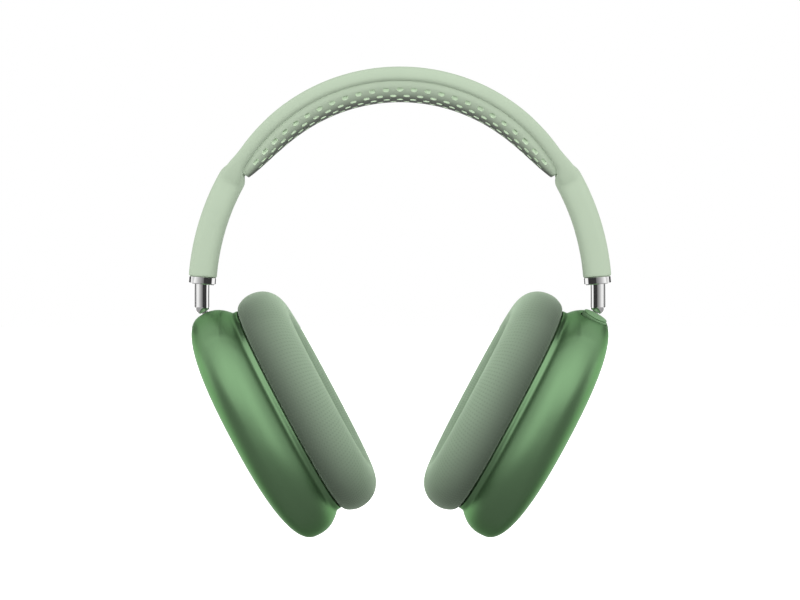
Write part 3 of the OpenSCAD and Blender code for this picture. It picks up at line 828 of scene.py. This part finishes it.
class HEADSET_OT_head_pad(bpy.types.Operator):
    """Mould the sheet that hangs between the rails, with its staggered rows of openings"""

    bl_idname = "headset.head_pad"
    bl_label = "Head pad"

    def lines(self, s, band):
        """Where the sheet's lines lie: angles from the crown, and parts of its half width."""
        columns = 2 * s.openings - 1
        end = s.reach - PLAIN_END
        ends = [end + (s.reach - end) * k / END_LINES for k in range(1, END_LINES + 1)]
        along = [-a for a in reversed(ends)] + [end * (2 * k / columns - 1) for k in range(columns + 1)] + ends
        across = list(HEM)
        for row in PAD_ROWS:
            across += [row * ROW_PITCH + side * s.opening_width / 2 / band.rail_spread for side in (-1, 1)]
        return along, across + [-v for v in reversed(HEM)]

    def mark(self, bm, curve, centre):
        """Firms the edges of the openings, and maps how far from the middle the underside is."""
        firm = bm.edges.layers.float.new("crease_edge")
        for edge in bm.edges:
            if edge.calc_face_angle(0) > OPENING_TURN:
                edge[firm] = OPENING_CREASE
        mould = bm.loops.layers.uv.new("mould")
        bm.normal_update()
        for face in bm.faces:
            wall = all(edge[firm] for edge in face.edges)
            below = face.normal.dot(face.calc_center_median() - centre) < 0
            for loop in face.loops:
                co = loop.vert.co
                place = math.atan2(abs(co.x), co.z - centre.z) * curve.radius
                out = min(abs(co.y) / max(curve.spread(place), NARROWEST), 1.0)
                loop[mould].uv = (place, CUT_WALL if wall else out if below else TOP_FACE)

    def execute(self, context):
        s, band, curve = settings("pad"), settings("band"), BandCurve()
        top = band.rail_radius - band.rail_width / 2 + EDGE_LIFT
        along, across = self.lines(s, band)

        def spot(co):
            """Where a point of the flat grid lies, in lines along and across."""
            return (co.x + 1) / 2 * (len(along) - 1), (co.y + 1) / 2 * (len(across) - 1)

        def point(a, v):
            half = curve.spread(abs(a) * band.rail_radius)
            low = -band.rail_centre + s.curl * abs(a / s.reach) ** CURL_POWER
            r = low + (top - low) * (1 - math.sqrt(max(0.0, 1 - v * v)))
            return Vector((r * math.sin(a), half * v, band.rail_centre + r * math.cos(a)))

        bm = bmesh.new()
        bmesh.ops.create_grid(bm, x_segments=len(along) - 1, y_segments=len(across) - 1, size=1)
        openings = []
        for face in bm.faces:
            i, j = spot(face.calc_center_median())
            column = int(i) - END_LINES
            row, between = divmod(int(j) - len(HEM), 2)
            inside = 0 <= column < 2 * s.openings - 1 and 0 <= row < len(PAD_ROWS)
            if inside and not between and (column + row) % 2 == 0:
                openings.append(face)
        for vert in bm.verts:
            i, j = spot(vert.co)
            vert.co = point(along[round(i)], across[round(j)])
        bmesh.ops.inset_individual(bm, faces=openings, thickness=OPENING_HEM, depth=0)
        bmesh.ops.delete(bm, geom=openings, context="FACES")
        bmesh.ops.recalc_face_normals(bm, faces=bm.faces)
        if sum(face.normal.z for face in bm.faces) > 0:
            bmesh.ops.reverse_faces(bm, faces=bm.faces)
        bmesh.ops.solidify(bm, geom=bm.faces, thickness=s.wall)
        self.mark(bm, curve, Vector((0, 0, band.rail_centre)))
        pad = to_object("head_pad_skin", bm)
        round_off(pad, 2)
        dress(pad, "pad_sage", "headband", "head_pad")
        return {"FINISHED"}


# ---- cups ----

PIVOT = Vector((0.0792, 0, -0.0823))
POST_X = 0.0107
POST_Z = 0.05235
SIDE_POWER = 2.35
DOME_POWER = 2.75
TUCK_POWER = 2.4
CUP_SIDES = 144
SHELL_CREASE = math.radians(32)

# The shell's wall, from the middle of its inside to the middle of its outside: turns of its two domes in
# degrees, distances of its rings from the seam, and, round its lip, distances from the seam and the side.
INNER_DOME = (89.9, 88, 84, 78, 70, 60, 50, 40, 30, 20, 10, 0)
INNER_SIDE = (0.009, 0.007, 0.0055, 0.004)
INNER_RIM = (0.0022, 0.0003)
RIM_ROUND = 0.0003
SHELL_LIP = (
    (0.0, 0.0068), (-0.0002, 0.00665), (-0.0009, 0.0066), (-0.0011, 0.0064),
    (-0.0012, 0.0061), (-0.0012, 0.0058), (-0.0011, 0.0055), (-0.0009, 0.00535),
    (-0.0004, 0.0053), (0.0002, 0.0053), (0.0007, 0.0052), (0.0012, 0.0049),
)
OUTER_SIDE = (0.0017, 0.0023, 0.003, 0.004, 0.0052, 0.0066, 0.0082, 0.0098)
OUTER_DOME = (*range(0, 86, 5), 88, 89.9)

# Openings in the shells: radius, or length and width, and from where to where the cutter reaches.
DIMPLE = 0.0034
POST_HOLE = (0.0016, (-0.007, -0.001))
DIAL_HOLE = (0.0055, (-0.005, 0.003))
BUTTON_HOLE = ((0.0125, 0.0051), (-0.005, 0.003))
PORT_HOLE = ((0.0097, 0.0039), (-0.002, 0.006))
PILL_SIDES = 40

# Where the faces of the dial and the button stand, and how far they lean to the front or the back.
DIAL_AT = ((0.0102, -0.014, 0.0487), math.radians(13))
BUTTON_AT = ((0.0102, 0.014, 0.0484), math.radians(-12))


def cup_place():
    """From the right cup's own frame, with the seam at its origin and X outward, to the row's."""
    lean = Matrix.Rotation(settings("cup").lean, 4, "Y")
    return Matrix.Translation(PIVOT) @ lean @ Matrix.Translation((-POST_X, 0, -POST_Z))


def oval(half_y, half_z, sides):
    """Points round a cup's rounded oval."""
    corners = [squared(t, SIDE_POWER) for t in turns(sides)]
    return [(half_y * y, half_z * z) for y, z in corners]


def cup_ring(x, half_y, half_z):
    """Points round a cup at a distance from its seam."""
    return [Vector((x, y, z)) for y, z in oval(half_y, half_z, CUP_SIDES)]


def pill_cutter(size, reach, place):
    """A bar with round ends, its length along Y and its depth along Z."""
    long, wide = size
    outline = []
    for i in range(PILL_SIDES):
        t = math.tau * (i + 0.5) / PILL_SIDES
        end = math.copysign((long - wide) / 2, math.sin(t))
        outline.append((wide / 2 * math.cos(t), end + wide / 2 * math.sin(t)))
    return bar([[Vector((x, y, z)) for x, y in outline] for z in reach], place)


def round_cutter(radius, reach, place):
    """A round bar, its depth along Z."""
    return bar([[Vector((x, y, z)) for x, y in circle(radius, ROUND_SIDES)] for z in reach], place)


def control_place(at, lean):
    """From a control's own frame, with its face at the origin, to the right cup's."""
    return Matrix.Translation(at) @ Matrix.Rotation(lean, 4, "X")


class HEADSET_OT_shells(bpy.types.Operator):
    """Draw the two hard shells as thin walls, with their dimples and openings"""

    bl_idname = "headset.shells"
    bl_label = "Cup shells"

    def wall(self, s):
        """Rings over a shell's wall, from the middle of its inside, round the lip, to that of its outside."""
        half_y, half_z = s.depth / 2, s.height / 2

        def ring(x, inset):
            return cup_ring(x, half_y - inset, half_z - inset)

        def tuck(x):
            return s.tuck * (1 - x / s.waist) ** TUCK_POWER

        def dome(turn, depth, inset):
            t = math.radians(turn)
            x = s.waist + depth * math.sin(t) ** (2 / DOME_POWER)
            k = math.cos(t) ** (2 / DOME_POWER)
            return cup_ring(x, (half_y - inset) * k, (half_z - inset) * k)

        rings = [dome(turn, s.thickness - s.waist - s.wall, s.wall) for turn in INNER_DOME]
        rings += [ring(x, s.wall + tuck(x)) for x in INNER_SIDE]
        rim = s.tuck + s.wall
        rings += [ring(x, rim) for x in INNER_RIM]
        rings.append(ring(0.0, rim - RIM_ROUND))
        rings += [ring(x, inset) for x, inset in SHELL_LIP]
        rings += [ring(x, tuck(x)) for x in OUTER_SIDE]
        return rings + [dome(turn, s.thickness - s.waist, 0.0) for turn in OUTER_DOME]

    def cutters(self, s, side):
        """What is taken out of a shell: dimple and post hole, and on the right also controls and port."""
        post = Matrix.Translation((POST_X, 0, POST_Z))
        dimple = bmesh.new()
        bmesh.ops.create_uvsphere(
            dimple, u_segments=ROUND_SIDES, v_segments=ROUND_SIDES // 2, radius=DIMPLE, matrix=post
        )
        made = [dimple, round_cutter(*POST_HOLE, post)]
        if side > 0:
            port = Matrix.Translation((s.waist, 0, -s.height / 2))
            made.append(round_cutter(*DIAL_HOLE, control_place(*DIAL_AT)))
            made.append(pill_cutter(*BUTTON_HOLE, control_place(*BUTTON_AT)))
            made.append(pill_cutter(*PORT_HOLE, port))
        return made

    def execute(self, context):
        s = settings("cup")
        rings = self.wall(s)
        for word, side in SIDES.items():
            bm = bmesh.new()
            closed_sweep(bm, rings)
            in_order(bm)
            bmesh.ops.recalc_face_normals(bm, faces=bm.faces)
            shell = to_object("shell_" + word, bm)
            carve(shell, *self.cutters(s, side))
            bm = edit(shell)
            bmesh.ops.transform(bm, matrix=cup_place(), verts=bm.verts)
            mirrored(bm, side)
            put_back(shell, bm)
            smooth_shading(shell, SHELL_CREASE)
            dress(shell, "anodised_green", "cup_" + word, "cup_shell_" + word)
        return {"FINISHED"}


# ---- cushions ----

# The foam's section: distances from the seam and in from the side.
CUSHION_WAIST = 0.008
CUSHION_BACK = 0.0016
SIDE_LINE = ((CUSHION_BACK, 0.0040), (0.0020, 0.0029), (0.0030, 0.0018), (0.0046, 0.0008), (0.0063, 0.0002))
INNER_RISE = 0.004
INNER_LINE = (0.0095, 0.007, 0.0048, 0.003)
INNER_ROUND = 0.0006
BACK_LINE = 0.0075
FOAM_POWER = 2.2
ARC_STEPS = 10

# The cover: it is held up to the seam's line, drawn on a little slack, and swells by so much at most.
STATIONS = 132
SEAM_LINE = 0.0045
SLACK = 0.0002
SWELL = 0.0016
COVER_FRAMES = 20
COVER_CLOTH = {
    "quality": 6,
    "mass": 0.15,
    "tension_stiffness": 25,
    "compression_stiffness": 25,
    "shear_stiffness": 12,
    "bending_stiffness": 0.6,
    "use_pressure": True,
    "vertex_group_mass": "seam",
}


class HEADSET_OT_cushions(bpy.types.Operator):
    """Stretch a knitted cover over the foam ring of each cushion"""

    bl_idname = "headset.cushions"
    bl_label = "Cushions"

    def section(self, s):
        """Distance from the seam and distance in from the side, once round the foam."""
        high = s.thickness - CUSHION_WAIST
        k = 2 / FOAM_POWER
        quarter = [math.radians(90 * i / ARC_STEPS) for i in range(ARC_STEPS + 1)]
        inner = s.crest + s.lip
        points = list(SIDE_LINE)
        for t in quarter:
            points.append((CUSHION_WAIST + high * math.sin(t) ** k, s.crest * (1 - math.cos(t) ** k)))
        for t in reversed(quarter[:-1]):
            deep = CUSHION_WAIST + INNER_RISE + (high - INNER_RISE) * math.sin(t) ** k
            points.append((deep, s.crest + s.lip * math.cos(t) ** k))
        points += [(deep, inner) for deep in INNER_LINE]
        return points + [(CUSHION_BACK, inset) for inset in (inner - INNER_ROUND, s.crest, BACK_LINE)]

    def lay_map(self, bm, cloth, place, around, reach):
        """The cover's own map in millimetres: round the ring at its crest, and over the foam from its back."""
        stations, points = len(around) - 1, len(reach) - 1
        for face in bm.faces:
            spots = [divmod(loop.vert[place], points) for loop in face.loops]
            far_round = max(i for i, _ in spots) - min(i for i, _ in spots) > 1
            far_over = max(j for _, j in spots) - min(j for _, j in spots) > 1
            for loop, (i, j) in zip(face.loops, spots):
                i = stations if far_round and i == 0 else i
                j = points if far_over and j == 0 else j
                loop[cloth].uv = (around[i] / MM, reach[j] / MM)

    def cover(self, s, slack):
        """The knitted tube, laid round the foam a little slack, and the vertices that are held at its seam."""
        section = self.section(s)
        ovals = [oval(s.depth / 2 - p[1], s.height / 2 - p[1], STATIONS) for p in section]
        rings = []
        for i in range(STATIONS):
            k = (i + 3 * STATIONS // 4) % STATIONS
            rings.append([Vector((-p[0], *ovals[j][k])) for j, p in enumerate(section)])
        bm = bmesh.new()
        cloth = bm.loops.layers.uv.new("cloth")
        place = bm.verts.layers.int.new("place")
        sweep(bm, rings, place)
        bmesh.ops.bridge_loops(bm, edges=[e for e in bm.edges if e.is_boundary])
        crest = [ring[len(section) // 2] for ring in rings]
        self.lay_map(bm, cloth, place, lengths_round(crest), lengths_round(section))
        bm.verts.layers.int.remove(place)
        in_order(bm)
        bmesh.ops.recalc_face_normals(bm, faces=bm.faces)
        held = [v.index for v in bm.verts if -v.co.x < SEAM_LINE]
        for vert in bm.verts:
            if -vert.co.x >= SEAM_LINE:
                vert.co -= vert.normal * slack
        return bm, held

    def inflate(self, cover, held, s):
        """Lets the foam push the cover out, no further than the swell allows."""
        start = [v.co.copy() for v in cover.data.vertices]
        cover.vertex_groups.new(name="seam").add(held, 1.0, "REPLACE")
        physics = cover.modifiers.new("cloth", "CLOTH").settings
        for key, value in COVER_CLOTH.items():
            setattr(physics, key, value)
        physics.uniform_pressure_force = s.pressure
        physics.effector_weights.gravity = 0
        scene = bpy.context.scene
        for number in range(1, COVER_FRAMES + 1):
            scene.frame_set(number)
        bake_modifiers(cover)
        scene.frame_set(1)
        for vert, rest in zip(cover.data.vertices, start):
            move = vert.co - rest
            if move.length > SWELL:
                vert.co = rest + move * (SWELL / move.length)

    def execute(self, context):
        s = settings("cushion")
        bm, held = self.cover(s, SLACK)
        pattern = to_object("cover_pattern", bm)
        self.inflate(pattern, held, s)
        for word, side in SIDES.items():
            bm = edit(pattern)
            bmesh.ops.transform(bm, matrix=cup_place(), verts=bm.verts)
            mirrored(bm, side)
            cover = to_object("cushion_cover_" + word, bm)
            round_off(cover, 1)
            dress(cover, "knit_green", "ear_cushion_" + word, "cushion_" + word)
        bpy.data.meshes.remove(pattern.data)
        return {"FINISHED"}


# Half the screen's width and height, its area, and its section: parts of its size and distances from the seam.
SCREEN_HALF = (0.0217, 0.0296)
SCREEN_CREASE = math.radians(60)
SCREEN_SECTION = (
    (0.02, 0.00187), (0.3, 0.001875), (0.6, 0.00189), (0.82, 0.00191), (0.88, 0.00195), (0.91, 0.00204),
    (0.96, 0.00209), (0.99, 0.00205), (1.0, 0.00192), (1.0, 0.0017), (0.99, 0.00160), (0.96, 0.001575),
    (0.88, 0.00157), (0.6, 0.001565), (0.3, 0.00156), (0.02, 0.00156),
)


class HEADSET_OT_screens(bpy.types.Operator):
    """Stretch a thin hemmed cloth over the opening of each cushion"""

    bl_idname = "headset.screens"
    bl_label = "Ear screens"

    def execute(self, context):
        for word, side in SIDES.items():
            rings = [cup_ring(-x, SCREEN_HALF[0] * k, SCREEN_HALF[1] * k) for k, x in SCREEN_SECTION]
            bm = bar(rings, cup_place())
            mirrored(bm, side)
            screen = to_object("ear_screen_" + word, bm)
            smooth_shading(screen, SCREEN_CREASE)
            dress(screen, "screen", "ear_cushion_" + word, "cushion_screen_" + word)
        return {"FINISHED"}


# ---- controls ----

# The dial's outline, by distance from its axis and height over its face.
DIAL_OUTLINE = (
    (0.00001, 0.0), (0.0034, 0.0), (0.0043, -0.00004), (0.0047, -0.00014), (0.0049, -0.00028),
    (0.0048, -0.00046), (0.00465, -0.00056), (0.0048, -0.00068), (0.0050, -0.0008),
    (0.00515, -0.0010), (0.0052, -0.0013), (0.0052, -0.0020), (0.00515, -0.0022), (0.0050, -0.0024),
    (0.0022, -0.0024), (0.0022, -0.0084), (0.00001, -0.0084),
)
DIAL_STEPS = 180
DIAL_CREASE = math.radians(40)
FLUTES = 60
FLUTE_DEPTH = 0.018
FLUTE_FROM = 0.00495
FLUTE_EASE = 0.0002


class HEADSET_OT_dial(bpy.types.Operator):
    """Turn the dial, with its fluted side"""

    bl_idname = "headset.dial"
    bl_label = "Dial"

    def execute(self, context):
        bm = bmesh.new()
        spun(bm, DIAL_OUTLINE, DIAL_STEPS)
        for vert in bm.verts:
            r = math.hypot(vert.co.x, vert.co.y)
            if r > FLUTE_FROM:
                wave = 0.5 - 0.5 * math.cos(FLUTES * math.atan2(vert.co.y, vert.co.x))
                dent = 1 - FLUTE_DEPTH * wave * ease((r - FLUTE_FROM) / FLUTE_EASE)
                vert.co.x *= dent
                vert.co.y *= dent
        bmesh.ops.transform(bm, matrix=cup_place() @ control_place(*DIAL_AT), verts=bm.verts)
        mirrored(bm, 1)
        dial = to_object("dial", bm)
        smooth_shading(dial, DIAL_CREASE)
        dress(dial, "anodised_green", "dial", "dial_knob", "knurled_green")
        return {"FINISHED"}


class HEADSET_OT_finishes(bpy.types.Operator):
    """Give every other part the finish of its slot, and the cushions' plates a paler green trim"""

    bl_idname = "headset.finishes"
    bl_label = "Inner parts and fittings"

    def execute(self, context):
        for part in frame["record"]["subparts"]:
            ring = part["node"].startswith("cushion_plate")
            for slot in frame["nodes"][part["node"]].material_slots:
                slot.material = finish_of("ring" if ring else part["material_slot"])
        return {"FINISHED"}


# ---- stage ----

FLOOR_RADIUS = 14
FLOOR_TONE = 0.86
FLOOR_GLOW = 0.8

# The patch under the headset that gives matte surfaces less light: its limit and width, and its tone and
# glow against those of the floor round it.
RUG_FADE = (0.45, 0.2)
RUG = 0.10
ROUND_RUG = 0.9
ROUND_GLOW = 0.65

# Where, going back, metal starts to mirror the plain white backdrop.
BEHIND = (0.25, 0.2)

# Cards beside the arms that only metal mirrors: width, X and Y of the middle, turn, and shading: its axis and
# the line that it runs from, its limit and width, and the tones within and past the limit.
CARD_HEIGHT = -0.0755
CARD_TALL = 0.02
FRONT_CARD = (0.4, (0, -0.03), 0, (0, 0, (0.091, 0.039), 0.02, 1))
OUT_CARD = (0.03, (0.112, 0.022), math.pi / 2, (1, 0, (0.091, 0.039), 0.03, 0.03))
NEAR_CARD = (0.04, (0.0705, -0.010), math.pi / 2, (1, -0.0008, (0.0026, 0.0006), 1, 0.04))

# The lens and the width of the film, in millimetres.
LENS = 90
FILM = 36

# Soft lamps round the headset, alike on both sides: degrees from the front, degrees up, tightness, strength.
SOFT_LAMPS = (
    (0, 90, 7, 0.30), (0, 62, 9, 0.80), (90, 62, 9, 0.80), (180, 62, 9, 0.52),
    (0, 36, 16, 0.80), (30, 36, 16, 1.13), (60, 36, 16, 0.33), (95, 36, 16, 0.61), (135, 36, 16, 0.80),
    (180, 36, 16, 0.67), (0, 9, 24, 0.85), (20, 9, 24, 1.12), (42, 9, 24, 0.89), (64, 9, 24, 0.40),
    (88, 9, 24, 0.66), (115, 9, 24, 1.04), (145, 9, 24, 0.34),
)


class HEADSET_OT_stage(bpy.types.Operator):
    """Lay the floor, light the studio and set the camera"""

    bl_idname = "headset.stage"
    bl_label = "Stage"

    def rays(self, f):
        """What meets the backdrop: 1 for the camera's rays, and 1 for mirrored or refracted ones."""
        path = f.add("LightPath").socket.node.outputs
        names = ("Is Camera Ray", "Is Glossy Ray", "Is Transmission Ray")
        seen, glossy, through = (Wire(f, path[name]) for name in names)
        return seen, glossy.math("MAXIMUM", glossy, through)

    def matte(self, f, tone, glow):
        """A matte surface that also glows."""
        surface = f.add("BsdfDiffuse", inputs={"Color": tone})
        return f.add("AddShader", inputs={0: surface, 1: f.add("Emission", inputs=glow)})

    def floor(self, s):
        """White to the camera, white behind and grey in front to metal, and to the rest dark under the headset."""
        low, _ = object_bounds()
        bm = bmesh.new()
        bmesh.ops.create_circle(bm, cap_ends=True, segments=ROUND_SIDES, radius=FLOOR_RADIUS)
        bmesh.ops.translate(bm, vec=(0, 0, low.z - s.floor_drop), verts=bm.verts)
        floor = to_object("floor", bm)
        f = Finish("floor_finish")
        seen, metal = self.rays(f)
        behind = f.split(f.place())[1].above(*BEHIND)
        away = f.add("VectorMath", {"operation": "LENGTH"}, {0: f.place()}, 1).above(*RUG_FADE)
        pale = self.matte(f, (*grey(FLOOR_TONE), 1), {"Strength": FLOOR_GLOW})
        lit = self.matte(
            f, f.mix(away, grey(RUG), grey(ROUND_RUG)), {"Color": f.mix(away, grey(0), grey(ROUND_GLOW))}
        )
        flag = f.add("BsdfDiffuse", inputs={"Color": (*grey(s.bounce), 1)})
        mirrored_floor = f.add("MixShader", inputs={0: behind, 1: flag, 2: pale})
        rest = f.add("MixShader", inputs={0: metal, 1: lit, 2: mirrored_floor})
        f.add("OutputMaterial", inputs={"Surface": f.add("MixShader", inputs={0: seen, 1: rest, 2: pale})})
        floor.data.materials.append(f.material)
        floor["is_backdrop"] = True

    def card(self, name, side, width, at, turn, shading):
        """A card that only mirrored rays meet, shaded outward from a line across it."""
        axis, middle, fade, near, far = shading
        bm = bmesh.new()
        bmesh.ops.create_grid(bm, x_segments=1, y_segments=1, size=0.5)
        bmesh.ops.scale(bm, vec=(width, CARD_TALL, 1), verts=bm.verts)
        place = Matrix.Translation((side * at[0], at[1], CARD_HEIGHT))
        upright = Matrix.Rotation(math.pi / 2, 4, "X")
        bmesh.ops.transform(bm, matrix=place @ Matrix.Rotation(turn, 4, "Z") @ upright, verts=bm.verts)
        card = to_object(name, bm)
        f = Finish(name + "_finish")
        out = f.split(f.place())[axis] - middle
        tone = f.mix(out.math("ABSOLUTE", out).above(*fade), grey(near), grey(far))
        f.add("OutputMaterial", inputs={"Surface": f.add("Emission", inputs={"Color": tone})})
        card.data.materials.append(f.material)
        card.visible_camera = card.visible_diffuse = card.visible_shadow = card.visible_transmission = False
        card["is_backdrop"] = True

    def cards(self):
        """One card in front of both arms, and one outside and one inside each of them."""
        self.card("card_front", 1, *FRONT_CARD)
        for word, side in SIDES.items():
            self.card("card_out_" + word, side, *OUT_CARD)
            self.card("card_near_" + word, side, *NEAR_CARD)

    def studio(self, scene, s):
        """A world of soft lamps, with a plain white one for the camera and behind what metal mirrors."""
        scene.world = bpy.data.worlds.new("studio")
        sky = Finish(scene.world)
        way = sky.add("TexCoord")
        side = sky.split(sky.add("VectorMath", {"operation": "ABSOLUTE"}, {0: way}))[0]
        _, back, height = sky.split(way)
        folded = sky.add("CombineXYZ", inputs={"X": side, "Y": back, "Z": height})
        light = 0.0
        for turn, lift, tightness, strength in SOFT_LAMPS:
            a, e = math.radians(turn), math.radians(lift)
            at = (math.sin(a) * math.cos(e), -math.cos(a) * math.cos(e), math.sin(e))
            near = sky.add("VectorMath", {"operation": "DOT_PRODUCT"}, {0: folded, 1: at}, 1)
            light = light + (near * tightness - tightness).exponential() * strength
        seen, metal = self.rays(sky)
        shown = seen.math("MAXIMUM", seen, metal * back.above(*BEHIND))
        tone = sky.add("CombineXYZ", inputs={"X": light, "Y": light, "Z": light})
        lamps = sky.add("Background", inputs={"Color": tone, "Strength": s.level})
        white = sky.add("Background", inputs={"Color": (1, 1, 1, 1), "Strength": 1.0})
        sky.add("OutputWorld", inputs={"Surface": sky.add("MixShader", inputs={0: shown, 1: lamps, 2: white})})

    def camera(self, scene, s):
        data = bpy.data.cameras.new("camera")
        data.lens, data.sensor_width = LENS, FILM
        camera = bpy.data.objects.new("camera", data)
        scene.collection.objects.link(camera)
        camera.location = (0, -s.camera_distance, s.camera_height)
        camera.rotation_euler = (math.pi / 2, 0, 0)
        scene.camera = camera

    def execute(self, context):
        s = settings("stage")
        self.floor(s)
        self.studio(context.scene, s)
        self.cards()
        self.camera(context.scene, s)
        context.scene.view_settings.view_transform = "Standard"
        return {"FINISHED"}


class HEADSET_PT_panel(bpy.types.Panel):
    bl_label = "Headset"
    bl_idname = "HEADSET_PT_panel"
    bl_space_type = "VIEW_3D"
    bl_region_type = "UI"
    bl_category = "Headset"

    def draw(self, context):
        for operator in OPERATORS:
            self.layout.operator(operator.bl_idname)
        for name in SETTINGS:
            group = getattr(context.scene, name)
            box = self.layout.box()
            for key in group.bl_rna.properties.keys():
                if key not in {"rna_type", "name"}:
                    box.prop(group, key)


OPERATORS = (
    HEADSET_OT_band,
    HEADSET_OT_head_pad,
    HEADSET_OT_shells,
    HEADSET_OT_cushions,
    HEADSET_OT_screens,
    HEADSET_OT_dial,
    HEADSET_OT_finishes,
    HEADSET_OT_stage,
)


def register():
    for cls in (*SETTINGS.values(), *OPERATORS, HEADSET_PT_panel):
        bpy.utils.register_class(cls)
    for name, group in SETTINGS.items():
        setattr(bpy.types.Scene, name, PointerProperty(type=group))


def unregister():
    for name in SETTINGS:
        delattr(bpy.types.Scene, name)
    for cls in reversed((*SETTINGS.values(), *OPERATORS, HEADSET_PT_panel)):
        bpy.utils.unregister_class(cls)


def main():
    register()
    for operator in OPERATORS:
        group, name = operator.bl_idname.split(".")
        getattr(getattr(bpy.ops, group), name)()


if __name__ == "__main__":
    main()
